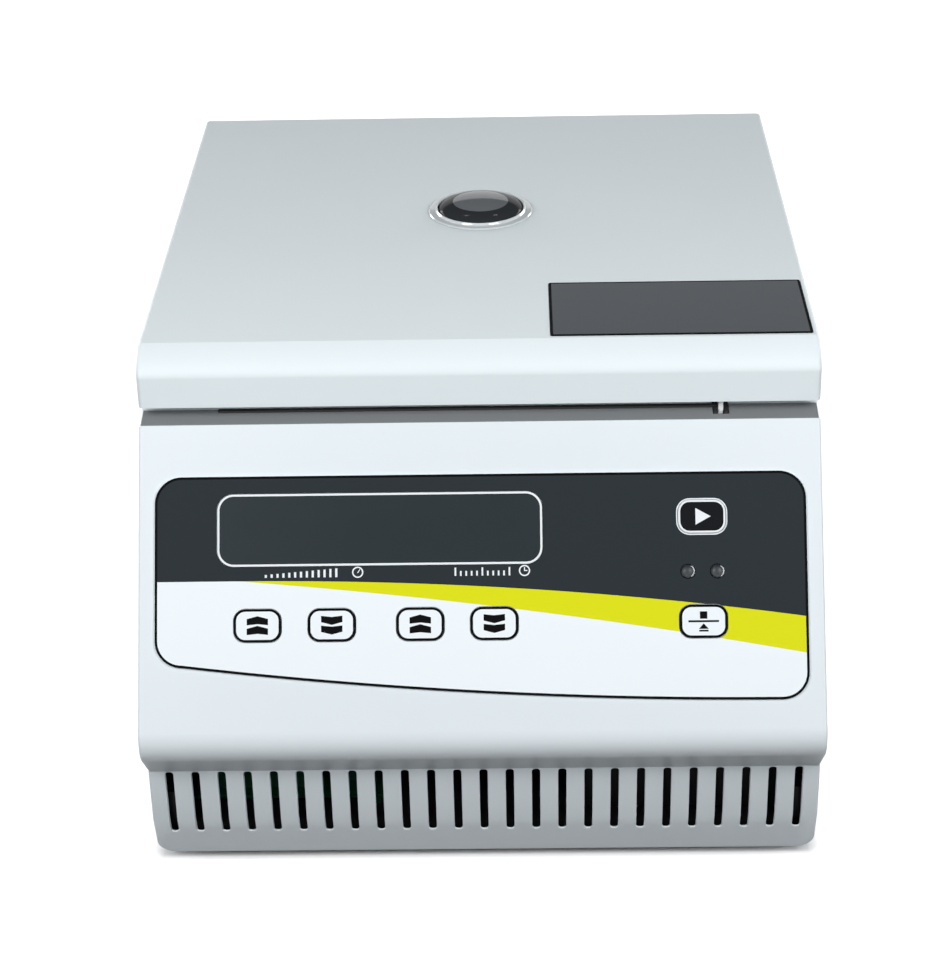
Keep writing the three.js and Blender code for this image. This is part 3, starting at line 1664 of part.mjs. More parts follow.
function makeDriveBoard() {
  const x = [-supplyX[1], -supplyX[1] + driveBoardWidth];
  const y = [electronicsY, electronicsY + driveBoardDepth];
  const boardZ = baseTop + seat + driveStandoffHeight;
  const top = boardZ + driveBoardThickness;
  const board = block(x, y, [boardZ, top]);
  const standoffs = x.flatMap((edge, i) =>
    y.map((side, j) => {
      const place = [
        edge + (i ? -driveStandoffInset : driveStandoffInset),
        side + (j ? -driveStandoffInset : driveStandoffInset),
      ];
      return rod(driveStandoffRadius, [baseTop + seat, top - driveBoardThickness / 2], tinySides, place);
    }),
  );
  const sinkX = [x[0] + heatSinkInset, x[0] + heatSinkInset + heatSinkLength];
  const finsFrom = y[0] + driveStandoffInset;
  const fins = Array.from({ length: heatSinkFins }, (_, i) =>
    block(
      sinkX,
      [finsFrom + i * heatSinkFinPitch, finsFrom + i * heatSinkFinPitch + heatSinkFinWall],
      [top - driveBoardThickness / 2, top + heatSinkHeight],
    ),
  );
  const sinkFoot = block(
    sinkX,
    [finsFrom, finsFrom + (heatSinkFins - 1) * heatSinkFinPitch + heatSinkFinWall],
    [top - driveBoardThickness / 2, top + heatSinkFoot],
  );
  const capacitors = [1, -1].map((side) =>
    rod(capacitorRadius, [top - driveBoardThickness / 2, top + capacitorHeight], smallSides, [
      x[1] - 2 * capacitorRadius,
      (y[0] + y[1]) / 2 + (side * capacitorPitch) / 2,
    ]),
  );
  return join(board, sinkFoot, ...standoffs, ...fins, ...capacitors);
}

// The assembly, in groups placed where their frames are

const centrifuge = new THREE.Group();

addPiece(centrifuge, "casing", makeCasing(), colours.casing);
addPiece(centrifuge, "base_plate", makeBasePlate(), colours.paintedSteel);
addPiece(centrifuge, "rear_panel", makeRearPanel(), colours.paintedSteel);
for (const [name, [x, y]] of Object.entries(footPlaces)) {
  addPiece(centrifuge, name, makeFoot(), colours.rubber).position.set(x, y, 0);
}
addPiece(centrifuge, "power_inlet", makePowerInlet(), colours.blackPlastic);
addPiece(centrifuge, "fuse_drawer", makeFuseDrawer(), colours.blackPlastic);
addPiece(centrifuge, "switch_bezel", makeSwitchBezel(), colours.blackPlastic);
const rocker = addPiece(centrifuge, "switch_rocker", makeRocker(), colours.blackPlastic);
rocker.position.set(switchX, rockerPivotY, inletMiddle);
rocker.rotation.x = THREE.MathUtils.degToRad(rockerTilt);
addPiece(centrifuge, "power_supply", makePowerSupply(), colours.steel);
addPiece(centrifuge, "drive_board", makeDriveBoard(), colours.board);
addPiece(centrifuge, "latch_guide", makeLatchGuide(), colours.blackPlastic);
addPiece(centrifuge, "lock_body", makeLockBody(), colours.steel);
addPiece(centrifuge, "lock_bolt", makeLockBolt(), colours.steel);

const chamber = new THREE.Group();
chamber.position.set(0, chamberY, 0);
centrifuge.add(chamber);
addPiece(chamber, "bowl", makeBowl(), colours.steel);
addPiece(chamber, "bowl_seal", makeSeal(), colours.rubber);
addPiece(chamber, "shaft_boot", makeBoot(), colours.rubber);
addPiece(chamber, "motor_frame", makeMotorFrame(), colours.paintedSteel);
mountPlaces.forEach(([x, y], i) => {
  addPiece(chamber, `motor_mount_${i + 1}`, makeMount(), colours.rubber).position.set(x, y, 0);
});
addPiece(chamber, "motor_top_cap", makeMotorTop(), colours.aluminium);
addPiece(chamber, "motor_can", makeMotorCan(), colours.steel);
addPiece(chamber, "motor_bottom_cap", makeMotorBottom(), colours.aluminium);
const upperBearingZ = motorTopZ + motorTopHeight + motorBossHeight - bearingWidth;
addPiece(chamber, "bearing_upper", makeBearing(upperBearingZ), colours.steel);
addPiece(chamber, "bearing_lower", makeBearing(motorZ), colours.steel);
addPiece(chamber, "drive_shaft", makeShaft(), colours.steel);
addPiece(chamber, "cooling_fan", makeFan(), colours.blackPlastic);
addPiece(chamber, "rotor_disc", makeRotorDisc(), colours.aluminium);
addPiece(chamber, "rotor_ring", makeRotorRing(), colours.rubber);
addPiece(chamber, "rotor_cover", makeRotorCover(), colours.aluminium);
addPiece(chamber, "rotor_knob", makeRotorKnob(), colours.blackPlastic);

const panel = new THREE.Group();
panel.position.set(0, overlayMiddle.x, overlayMiddle.y);
panel.rotation.x = panelTilt;
centrifuge.add(panel);
addPiece(panel, "panel_overlay", makeOverlay(), colours.film);
addPiece(panel, "display_window", makeWindow(), colours.smokedAcrylic);
addPiece(panel, "display_module", makeDisplayModule(), colours.blackPlastic);
addPiece(panel, "control_board", makeControlBoard(), colours.board);
for (const { name, across, up } of keys) {
  const colour = name === "key_run" ? colours.keyDark : colours.keyWhite;
  addPiece(panel, name, makeKey(), colour).position.set(across, up, 0);
}
for (const { name, across, up } of lamps) {
  addPiece(panel, name, makeLamp(), colours.lamp).position.set(across, up, 0);
}

const hingeAxis = new THREE.Group();
hingeAxis.position.set(0, hingeY, hingeZ);
centrifuge.add(hingeAxis);
addPiece(hingeAxis, "lid_shell", makeLidShell(), colours.lid);
addPiece(hingeAxis, "lid_liner", makeLiner(), colours.liner);
addPiece(hingeAxis, "name_plate", makeNamePlate(), colours.plate);
addPiece(hingeAxis, "sight_glass", makeSightGlass(), colours.smokedAcrylic);
addPiece(hingeAxis, "sight_ring", makeSightRing(), colours.steel);
addPiece(hingeAxis, "sight_nut", makeSightNut(), colours.blackPlastic);
addPiece(hingeAxis, "latch_hook", makeLatchHook(), colours.steel);
for (const [side, x] of [["left", -hingeSpread], ["right", hingeSpread]]) {
  addPiece(hingeAxis, `hinge_lid_leaf_${side}`, makeLidLeaf(x), colours.steel);
  addPiece(hingeAxis, `hinge_base_leaf_${side}`, makeBaseLeaf(x), colours.steel);
  addPiece(hingeAxis, `hinge_pin_${side}`, makeHingePin(x), colours.steel);
}

export default centrifuge;
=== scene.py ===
"""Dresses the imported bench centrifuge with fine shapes, finishes, floor, light and camera."""
import json
import math
from functools import cache

import bmesh
import bpy
from bpy.props import FloatProperty, FloatVectorProperty, IntProperty, PointerProperty
from mathutils import Matrix, Vector
from mathutils.geometry import delaunay_2d_cdt


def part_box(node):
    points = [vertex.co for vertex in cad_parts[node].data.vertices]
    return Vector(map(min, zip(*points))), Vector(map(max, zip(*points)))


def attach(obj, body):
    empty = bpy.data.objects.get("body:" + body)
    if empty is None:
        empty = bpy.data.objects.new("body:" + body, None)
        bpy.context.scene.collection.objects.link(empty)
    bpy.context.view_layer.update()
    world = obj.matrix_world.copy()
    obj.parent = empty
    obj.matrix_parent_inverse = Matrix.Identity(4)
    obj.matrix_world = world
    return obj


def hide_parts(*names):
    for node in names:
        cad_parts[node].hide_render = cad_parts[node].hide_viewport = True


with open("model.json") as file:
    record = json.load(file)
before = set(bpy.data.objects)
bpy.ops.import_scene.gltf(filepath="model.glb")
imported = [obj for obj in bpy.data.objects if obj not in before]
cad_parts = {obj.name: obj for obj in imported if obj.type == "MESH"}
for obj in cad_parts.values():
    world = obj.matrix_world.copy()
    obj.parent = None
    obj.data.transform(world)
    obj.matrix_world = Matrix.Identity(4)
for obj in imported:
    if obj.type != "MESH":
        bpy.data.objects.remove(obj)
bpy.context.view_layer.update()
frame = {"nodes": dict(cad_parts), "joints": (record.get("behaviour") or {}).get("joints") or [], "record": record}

bl_info = {
    "name": "Bench centrifuge",
    "version": (1, 0, 0),
    "blender": (4, 5, 0),
    "location": "3D View > Sidebar > Centrifuge",
    "description": "Fine shapes and finishes for a bench centrifuge for capillary tubes",
    "category": "Object",
}

MM = 0.001
FULL_TURN = 2 * math.pi
QUARTER = math.pi / 2

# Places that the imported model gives, in millimetres


def box_mm(node):
    low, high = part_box(node)
    return low / MM, high / MM


CASING_LOW, CASING_HIGH = box_mm("casing")
LID_LOW, LID_HIGH = box_mm("lid_shell")
BOWL_LOW, BOWL_HIGH = box_mm("bowl")
DISC_LOW, DISC_HIGH = box_mm("rotor_disc")
FILM_LOW, FILM_HIGH = box_mm("panel_overlay")
INLET_LOW, INLET_HIGH = box_mm("power_inlet")
BEZEL_LOW, BEZEL_HIGH = box_mm("switch_bezel")
REAR_LOW, REAR_HIGH = box_mm("rear_panel")
BASE_LOW, BASE_HIGH = box_mm("base_plate")

HALF_WIDTH = CASING_HIGH.x
REAR_Y = CASING_HIGH.y
DECK_DEPTH = 268
CREASE_Y = REAR_Y - DECK_DEPTH
DECK_Z = CASING_HIGH.z
RIM_Z = CASING_LOW.z
CHAMBER_Y = (BOWL_LOW.y + BOWL_HIGH.y) / 2
LID_Z = LID_LOW.z
LID_TOP = LID_HIGH.z
SEAT = 0.3

PRESS = next(j for j in frame["joints"] if j["name"] == "key_run_press")
OUTWARD = -Vector(PRESS["axis"]).normalized()
UP_SLOPE = Vector((0, OUTWARD.z, -OUTWARD.y))
FILM_THICKNESS = 0.6
FILM_MIDDLE = (FILM_LOW + FILM_HIGH) / 2
PANEL_ORIGIN = FILM_MIDDLE - OUTWARD * (SEAT + FILM_THICKNESS / 2)
PANEL = Matrix.Translation(PANEL_ORIGIN) @ Matrix(
    ((1, 0, 0), UP_SLOPE, OUTWARD)
).transposed().to_4x4()
TO_PANEL = PANEL.inverted()


# Sizes and colours that a user would change


def length(name, description, default):
    return FloatProperty(name=name, description=description, default=default * MM, unit="LENGTH")


def tone(name, description, default):
    return FloatVectorProperty(name=name, description=description, subtype="COLOR", default=default)


class CaseSizes(bpy.types.PropertyGroup):
    edge: length("Edge", "Rounding of the long side edges", 2)
    foot_corner: length("Foot corner", "Rounding of the casing's lower corners, seen from the front", 8)
    wall: length("Wall", "Thickness of the moulded walls", 2.5)
    slots: IntProperty(name="Slots", description="Number of slots in the plinth", default=25)
    slot_pitch: length("Slot pitch", "Distance between two slots", 10.94)
    slot_width: length("Slot width", "Width of a slot", 3.4)
    slot_edge: length("Slot edge", "Softening round the mouth of a slot", 0.45)


class PanelSizes(bpy.types.PropertyGroup):
    border: length("Border", "Width of the dark line round the film", 1.05)
    window_line: length("Window line", "Width of the pale line round the window", 0.85)
    key_line: length("Key line", "Width of the line round a key", 1.0)


class Colours(bpy.types.PropertyGroup):
    casing: tone("Casing", "Moulded casing", (0.70, 0.762, 0.80))
    lid: tone("Lid", "Painted lid", (0.76, 0.83, 0.86))
    field: tone("Field", "Dark field of the film", (0.0245, 0.0315, 0.0365))
    stripe: tone("Stripe", "Bright stripe of the film", (0.69, 0.71, 0.0105))
    paper: tone("Lower film", "Pale part of the film", (0.82, 0.88, 0.92))
    plate: tone("Plate", "Bare plate on the lid", (0.058, 0.070, 0.081))


# Outlines


def rounded(corners, steps=8):
    """A closed outline through corners [u, v, radius]."""
    outline = []
    count = len(corners)
    for index, (u, v, radius) in enumerate(corners):
        here = Vector((u, v))
        if radius <= 0:
            outline.append(here)
            continue
        back = (Vector(corners[index - 1][:2]) - here).normalized()
        on = (Vector(corners[(index + 1) % count][:2]) - here).normalized()
        half = back.angle(on) / 2
        centre = here + (back + on).normalized() * (radius / math.sin(half))
        start = here + back * (radius / math.tan(half)) - centre
        end = here + on * (radius / math.tan(half)) - centre
        first = math.atan2(start.y, start.x)
        turn = (math.atan2(end.y, end.x) - first + math.pi) % FULL_TURN - math.pi
        outline += [polar(centre, radius, first + turn * k / steps) for k in range(steps + 1)]
    return outline


def polar(centre, radius, angle):
    return Vector((centre[0] + radius * math.cos(angle), centre[1] + radius * math.sin(angle)))


def arc(centre, radius, start, end, steps=8):
    """Points on part of a circle, with its angles in degrees."""
    first, turn = math.radians(start), math.radians(end - start)
    return [polar(centre, radius, first + turn * k / steps) for k in range(steps + 1)]


def bent(start, control, end, steps=24):
    """Points on a quadratic curve."""
    a, b, c = Vector(start), Vector(control), Vector(end)
    shares = [k / steps for k in range(steps + 1)]
    return [a * (1 - s) ** 2 + b * 2 * s * (1 - s) + c * s * s for s in shares]


def rectangle(u0, u1, v0, v1, radius=0.0, steps=8):
    return rounded([[u0, v0, radius], [u1, v0, radius], [u1, v1, radius], [u0, v1, radius]], steps)


def middle_rectangle(centre, wide, high, radius, less=0.0, steps=8):
    """A rounded rectangle round a middle, with every side moved inwards by less."""
    u, v = wide / 2 - less, high / 2 - less
    return rectangle(
        centre[0] - u, centre[0] + u, centre[1] - v, centre[1] + v, max(radius - less, 0.02), steps
    )


def circle(centre, radius, steps=32):
    return [polar(centre, radius, FULL_TURN * k / steps) for k in range(steps)]


def inset(corners, distances):
    """Corners [u, v, radius] with each edge moved inwards by its own distance."""
    count = len(corners)
    edges = []
    for index, (u, v, _) in enumerate(corners):
        along = (Vector(corners[(index + 1) % count][:2]) - Vector((u, v))).normalized()
        inward = Vector((-along.y, along.x))
        edges.append((Vector((u, v)) + inward * distances[index], along))
    moved = []
    for index, (_, _, radius) in enumerate(corners):
        (a, a_along), (b, b_along) = edges[index - 1], edges[index]
        turn = a_along.cross(b_along)
        corner = a + a_along * ((b - a).cross(b_along) / turn)
        change = -distances[index] if turn > 0 else distances[index]
        moved.append([corner.x, corner.y, max(radius + change, 0) if radius else 0])
    return moved


def drawn_in(outline, distance):
    """A smooth closed outline, anticlockwise, with every point moved inwards."""
    count = len(outline)
    moved = []
    for index, point in enumerate(outline):
        along = (outline[(index + 1) % count] - outline[index - 1]).normalized()
        moved.append(point + Vector((-along.y, along.x)) * distance)
    return moved


def inside(point, outline):
    """Whether a point lies within a closed outline."""
    hit = False
    for index, here in enumerate(outline):
        before = outline[index - 1]
        if (here.y > point.y) != (before.y > point.y):
            crossing = (before.x - here.x) * (point.y - here.y) / (before.y - here.y) + here.x
            hit = hit != (point.x < crossing)
    return hit


# Ways of placing an outline's two coordinates and a depth


def along_x(u, v, w):
    return Vector((w, u, v))


def along_y(u, v, w):
    return Vector((u, w, v))


def along_z(u, v, w):
    return Vector((u, v, w))


def on_panel(u, v, w):
    return PANEL @ Vector((u, v, w))


def upright(x, y):
    """A lathe's axis, straight up through a place."""
    return lambda u, v, w: Vector((x + u, y + v, w))


def panel_axis(across, up):
    return lambda u, v, w: PANEL @ Vector((across + u, up + v, w))


def sideways_axis(y, z):
    return lambda u, v, w: Vector((w, y + u, z + v))


# Bodies: closed shapes as (points, faces, finishes), with one finish index for each face


def prism(outline, low, high, place, finish=0):
    count = len(outline)
    points = [place(*p, low) for p in outline] + [place(*p, high) for p in outline]
    sides = [(i, (i + 1) % count, count + (i + 1) % count, count + i) for i in range(count)]
    faces = [tuple(reversed(range(count))), tuple(range(count, 2 * count)), *sides]
    return points, faces, [finish] * len(faces)


def stacked(outlines, place, finish=0):
    """A closed body through outlines of equal count, each with its own depth."""
    count = len(outlines[0][0])
    points = [place(*p, depth) for outline, depth in outlines for p in outline]
    faces = [tuple(reversed(range(count)))]
    for level in range(len(outlines) - 1):
        base = level * count
        for i in range(count):
            j = (i + 1) % count
            faces.append((base + i, base + j, base + count + j, base + count + i))
    faces.append(tuple(range(len(points) - count, len(points))))
    return points, faces, [finish] * len(faces)


def lathe(profile, place, steps=96, finish=0):
    """A closed profile of (radius, depth) turned about its axis."""
    points, rings = [], []
    for radius, depth in profile:
        rings.append(len(points))
        if radius < 1e-6:
            points.append(place(0, 0, depth))
            continue
        for k in range(steps):
            angle = FULL_TURN * k / steps
            points.append(place(radius * math.cos(angle), radius * math.sin(angle), depth))
    faces = []
    count = len(profile)
    for index in range(count):
        after = (index + 1) % count
        low, high = rings[index], rings[after]
        low_pole, high_pole = profile[index][0] < 1e-6, profile[after][0] < 1e-6
        if low_pole and high_pole:
            continue
        for k in range(steps):
            j = (k + 1) % steps
            if low_pole:
                faces.append((low, high + j, high + k))
            elif high_pole:
                faces.append((low + k, low + j, high))
            else:
                faces.append((low + k, low + j, high + j, high + k))
    return points, faces, [finish] * len(faces)


def rod(radius, low, high, place, steps=48, edge=0.0, finish=0):
    """A round bar with softened ends."""
    if edge:
        profile = [
            (0, low), (radius - edge, low), (radius, low + edge),
            (radius, high - edge), (radius - edge, high), (0, high),
        ]
    else:
        profile = [(0, low), (radius, low), (radius, high), (0, high)]
    return lathe(profile, place, steps, finish)


def block(xs, ys, zs):
    return prism(rectangle(xs[0], xs[1], ys[0], ys[1]), zs[0], zs[1], along_z)


def printed(outline, holes, prints, low, high, place):
    """A closed sheet whose face carries printed regions.

    prints holds (outline, finish) rows, and a later row covers an earlier one.
    """
    loops = [outline, *holes, *[region for region, _ in prints]]
    coords, edges = [], []
    for loop in loops:
        base = len(coords)
        coords += [Vector(p) for p in loop]
        edges += [(base + i, base + (i + 1) % len(loop)) for i in range(len(loop))]
    verts, _, triangles, *_ = delaunay_2d_cdt(coords, edges, [], 0, 1e-5)
    kept, finishes = [], []
    for triangle in triangles:
        middle = sum((Vector(verts[i]) for i in triangle), Vector((0, 0))) / len(triangle)
        if not inside(middle, outline) or any(inside(middle, hole) for hole in holes):
            continue
        kept.append(tuple(triangle))
        found = [finish for region, finish in prints if inside(middle, region)]
        finishes.append(found[-1] if found else 0)
    directed = dict.fromkeys((a, b) for face in kept for a, b in zip(face, (*face[1:], face[0])))
    rim = [(a, b) for a, b in directed if (b, a) not in directed]
    count = len(verts)
    points = [place(*v, high) for v in verts] + [place(*v, low) for v in verts]
    faces = list(kept) + [tuple(count + i for i in reversed(face)) for face in kept]
    faces += [(b, a, count + a, count + b) for a, b in rim]
    return points, faces, finishes + [0] * (len(kept) + len(rim))


def mesh_of(name, *bodies):
    """One mesh, in metres, from several closed bodies."""
    work = bmesh.new()
    for points, faces, finishes in bodies:
        verts = [work.verts.new(Vector(p) * MM) for p in points]
        for face, finish in zip(faces, finishes):
            work.faces.new([verts[i] for i in face]).material_index = finish
    bmesh.ops.remove_doubles(work, verts=work.verts, dist=1e-7)
    loose = [v for v in work.verts if not v.link_faces]
    bmesh.ops.delete(work, geom=loose, context="VERTS")
    bmesh.ops.recalc_face_normals(work, faces=work.faces)
    mesh = bpy.data.meshes.new(name)
    work.to_mesh(mesh)
    work.free()
    return mesh


def shape(name, *bodies):
    made = bpy.data.objects.new(name, mesh_of(name, *bodies))
    bpy.context.scene.collection.objects.link(made)
    return made


def remove(*pieces):
    for piece in pieces:
        bpy.data.objects.remove(piece)


def bake(piece):
    """Turns a piece and its modifiers into a plain mesh."""
    bpy.context.view_layer.update()
    seen = piece.evaluated_get(bpy.context.evaluated_depsgraph_get())
    mesh = bpy.data.meshes.new_from_object(seen)
    piece.modifiers.clear()
    piece.data = mesh
    return piece


def carve(piece, *cutters, operation="DIFFERENCE"):
    for cutter in cutters:
        change = piece.modifiers.new("carve", "BOOLEAN")
        change.operation = operation
        change.solver = "MANIFOLD"
        change.object = cutter
    bake(piece)
    remove(*cutters)
    if not piece.data.polygons:
        raise RuntimeError(f"{piece.name} came out empty")
    return piece


def soften(piece, chosen, width, segments=3):
    """Rounds the edges of a piece that chosen(edge) picks."""
    work = bmesh.new()
    work.from_mesh(piece.data)
    bmesh.ops.remove_doubles(work, verts=work.verts, dist=1e-7)
    work.normal_update()
    edges = [edge for edge in work.edges if len(edge.link_faces) == 2 and chosen(edge)]
    bmesh.ops.bevel(
        work, geom=edges, offset=width * MM, segments=segments, profile=0.5, affect="EDGES",
        clamp_overlap=True,
    )
    work.to_mesh(piece.data)
    work.free()
    return piece


def place_piece(piece, body, slot, nodes=(), finishes=(), smooth=30.0, bevel=0.0):
    """Gives a piece its finishes, its softened edges and shading, and its place in the frame."""
    mesh = piece.data
    printing = [0] * len(mesh.polygons)
    if len(finishes) > 1:
        mesh.polygons.foreach_get("material_index", printing)
    mesh.materials.clear()
    for name in finishes or (slot,):
        mesh.materials.append(material(name))
    mesh.polygons.foreach_set("material_index", printing)
    if bevel:
        rounding = piece.modifiers.new("edges", "BEVEL")
        rounding.width = bevel * MM
        rounding.segments = 2
        rounding.limit_method = "ANGLE"
        rounding.angle_limit = math.radians(smooth)
        rounding.harden_normals = False
        bake(piece)
    piece.data.polygons.foreach_set("use_smooth", [True] * len(piece.data.polygons))
    piece.data.set_sharp_from_angle(angle=math.radians(smooth))
    weighted = piece.modifiers.new("shading", "WEIGHTED_NORMAL")
    weighted.keep_sharp = True
    bake(piece)
    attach(piece, body)
    if nodes:
        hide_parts(*nodes)
    return piece


def refined(node, body, slot, bevel, finishes=()):
    """A copy of a CAD node with merged faces and softened edges, which stands for the node."""
    source = frame["nodes"][node]
    work = bmesh.new()
    work.from_mesh(source.data)
    bmesh.ops.remove_doubles(work, verts=work.verts, dist=1e-6)
    bmesh.ops.dissolve_limit(
        work, angle_limit=math.radians(1), verts=work.verts, edges=work.edges, delimit={"NORMAL"}
    )
    mesh = bpy.data.meshes.new(f"{node}_fine")
    work.to_mesh(mesh)
    work.free()
    piece = bpy.data.objects.new(f"{node}_fine", mesh)
    bpy.context.scene.collection.objects.link(piece)
    return place_piece(piece, body, slot, (node,), finishes, bevel=bevel)


def turned_piece(name, profile, axis, body, finish, node, steps=96, smooth=35):
    """A lathe's piece that stands for one node."""
    return place_piece(shape(name, lathe(profile, axis, steps)), body, finish, [node], smooth=smooth)


# Node trees


def add_node(tree, kind, inputs=None, **settings):
    """A node with its settings, and each input linked to a socket or set to a value."""
    node = tree.nodes.new(kind)
    for name, value in settings.items():
        setattr(node, name, value)
    for label, value in (inputs or {}).items():
        if isinstance(value, bpy.types.NodeSocket):
            tree.links.new(value, node.inputs[label])
        else:
            node.inputs[label].default_value = value
    return node


def add_math(tree, operation, *values):
    return add_node(tree, "ShaderNodeMath", dict(enumerate(values)), operation=operation).outputs[0]


# Geometry Nodes: what repeats


def new_tree(name, inputs):
    tree = bpy.data.node_groups.new(name, "GeometryNodeTree")
    tree.interface.new_socket("Geometry", in_out="INPUT", socket_type="NodeSocketGeometry")
    for label, kind in inputs:
        tree.interface.new_socket(label, in_out="INPUT", socket_type=f"NodeSocket{kind}")
    tree.interface.new_socket("Geometry", in_out="OUTPUT", socket_type="NodeSocketGeometry")
    return tree, tree.nodes.new("NodeGroupInput"), tree.nodes.new("NodeGroupOutput")


def copies(tree, start, end, points, rotation=None):
    """Ends a tree in real copies of its piece on the points, with their finish set."""
    source = add_node(
        tree, "GeometryNodeObjectInfo", {"Object": start.outputs["Piece"]}, transform_space="ORIGINAL"
    )
    inputs = {"Points": points, "Instance": source.outputs["Geometry"]}
    if rotation is not None:
        inputs["Rotation"] = rotation
    put = add_node(tree, "GeometryNodeInstanceOnPoints", inputs)
    real = add_node(tree, "GeometryNodeRealizeInstances", {"Geometry": put.outputs["Instances"]})
    inputs = {"Geometry": real.outputs["Geometry"], "Material": start.outputs["Finish"]}
    finished = add_node(tree, "GeometryNodeSetMaterial", inputs)
    tree.links.new(finished.outputs["Geometry"], end.inputs["Geometry"])
    return tree


def row_tree():
    """Copies of a piece in a straight row, either side of the middle."""
    tree, start, end = new_tree(
        "row", [("Count", "Int"), ("Pitch", "Float"), ("Piece", "Object"), ("Finish", "Material")]
    )
    count, pitch = start.outputs["Count"], start.outputs["Pitch"]
    span = add_math(tree, "MULTIPLY", add_math(tree, "SUBTRACT", count, 1.0), pitch)
    first = add_node(tree, "ShaderNodeCombineXYZ", {"X": add_math(tree, "MULTIPLY", span, -0.5)})
    step = add_node(tree, "ShaderNodeCombineXYZ", {"X": pitch})
    inputs = {"Count": count, "Start Location": first.outputs[0], "Offset": step.outputs[0]}
    line = add_node(tree, "GeometryNodeMeshLine", inputs, mode="OFFSET")
    return copies(tree, start, end, line.outputs["Mesh"])


def ring_tree():
    """Copies of a piece round the axis through the origin, each turned with its place."""
    tree, start, end = new_tree("ring", [("Count", "Int"), ("Piece", "Object"), ("Finish", "Material")])
    count = start.outputs["Count"]
    index = add_node(tree, "GeometryNodeInputIndex").outputs[0]
    angle = add_math(tree, "MULTIPLY", add_math(tree, "DIVIDE", index, count), FULL_TURN)
    turn = add_node(tree, "ShaderNodeCombineXYZ", {"Z": angle})
    points = add_node(tree, "GeometryNodePoints", {"Count": count})
    return copies(tree, start, end, points.outputs[0], turn.outputs[0])


def fastener_tree():
    """A piece on every point of a mesh, standing along the point's facing attribute."""
    tree, start, end = new_tree("fasteners", [("Piece", "Object"), ("Finish", "Material")])
    facing, spin = [
        add_node(tree, "GeometryNodeInputNamedAttribute", {"Name": name}, data_type=kind)
        for name, kind in (("facing", "FLOAT_VECTOR"), ("spin", "FLOAT"))
    ]
    inputs = {"Vector": facing.outputs["Attribute"]}
    aim = add_node(tree, "FunctionNodeAlignRotationToVector", inputs, axis="Z")
    twist = add_node(tree, "FunctionNodeAxisAngleToRotation", {"Angle": spin.outputs["Attribute"]})
    inputs = {"Rotation": aim.outputs["Rotation"], "Rotate By": twist.outputs["Rotation"]}
    both = add_node(tree, "FunctionNodeRotateRotation", inputs, rotation_space="LOCAL")
    return copies(tree, start, end, start.outputs["Geometry"], both.outputs["Rotation"])


@cache
def shared_tree(kind):
    return {"row": row_tree, "ring": ring_tree, "fasteners": fastener_tree}[kind]()


def repeat(kind, name, source, finish, values, carrier=None):
    """Runs a tree, bakes what it makes and removes the piece that it copied."""
    made = carrier or bpy.data.objects.new(name, bpy.data.meshes.new(name))
    if carrier is None:
        bpy.context.scene.collection.objects.link(made)
    change = made.modifiers.new("repeat", "NODES")
    change.node_group = shared_tree(kind)
    inputs = {**values, "Piece": source, "Finish": material(finish)}
    for item in change.node_group.interface.items_tree:
        if item.in_out == "INPUT" and item.name in inputs:
            change[item.identifier] = inputs[item.name]
    bake(made)
    remove(source)
    if not made.data.polygons:
        raise RuntimeError(f"{name} came out empty")
    return made


def moved(piece, x=0.0, y=0.0, z=0.0):
    piece.data.transform(Matrix.Translation(Vector((x, y, z)) * MM))
    return piece


# Finishes: shader groups that several materials share


def shader_group(name, inputs, outputs):
    group = bpy.data.node_groups.new(name, "ShaderNodeTree")
    for label, kind, default in inputs:
        socket = group.interface.new_socket(label, in_out="INPUT", socket_type=f"NodeSocket{kind}")
        socket.default_value = default
    for label, kind in outputs:
        group.interface.new_socket(label, in_out="OUTPUT", socket_type=f"NodeSocket{kind}")
    return group, group.nodes.new("NodeGroupInput"), group.nodes.new("NodeGroupOutput")


def object_place(group):
    return group.nodes.new("ShaderNodeTexCoord").outputs["Object"]


def add_noise(group, vector, scale, detail=2.0, roughness=0.5):
    inputs = {"Vector": vector, "Scale": scale, "Detail": detail, "Roughness": roughness}
    return add_node(group, "ShaderNodeTexNoise", inputs).outputs[0]


def round_zero(group, signal, amount):
    """A signal round one half, moved to lie round zero and scaled."""
    return add_math(group, "MULTIPLY", add_math(group, "SUBTRACT", signal, 0.5), amount)


def tinted(group, colour, amount, signal):
    """The colour made lighter and darker by a signal round one half."""
    inputs = {0: colour, "Scale": add_math(group, "ADD", round_zero(group, signal, amount), 1.0)}
    return add_node(group, "ShaderNodeVectorMath", inputs, operation="SCALE").outputs[0]


SURFACE_OUTPUTS = [("Colour", "Color"), ("Roughness", "Float"), ("Height", "Float")]


def end_surface(group, start, end, clouds, gloss, relief):
    """Ends a surface group with the signals for its colour, its roughness and its height."""
    spread = round_zero(group, gloss, start.outputs["Roughness Spread"])
    found = {
        "Colour": tinted(group, start.outputs["Colour"], start.outputs["Clouding"], clouds),
        "Roughness": add_math(group, "ADD", start.outputs["Roughness"], spread),
        "Height": relief,
    }
    for label, socket in found.items():
        group.links.new(socket, end.inputs[label])
    return group


def moulded_group():
    """Faint clouding, a fine spark texture and uneven gloss."""
    group, start, end = shader_group(
        "moulded surface",
        [
            ("Colour", "Color", (0.8, 0.8, 0.8, 1)), ("Clouding", "Float", 0.04),
            ("Cloud Scale", "Float", 14.0), ("Roughness", "Float", 0.4),
            ("Roughness Spread", "Float", 0.08), ("Grain Scale", "Float", 1400.0),
        ],
        SURFACE_OUTPUTS,
    )
    where = object_place(group)
    cloud = add_noise(group, where, start.outputs["Cloud Scale"], 3.0)
    grain = add_noise(group, where, start.outputs["Grain Scale"], 1.0)
    smear = add_noise(group, where, 55.0, 4.0, 0.6)
    return end_surface(group, start, end, cloud, smear, grain)


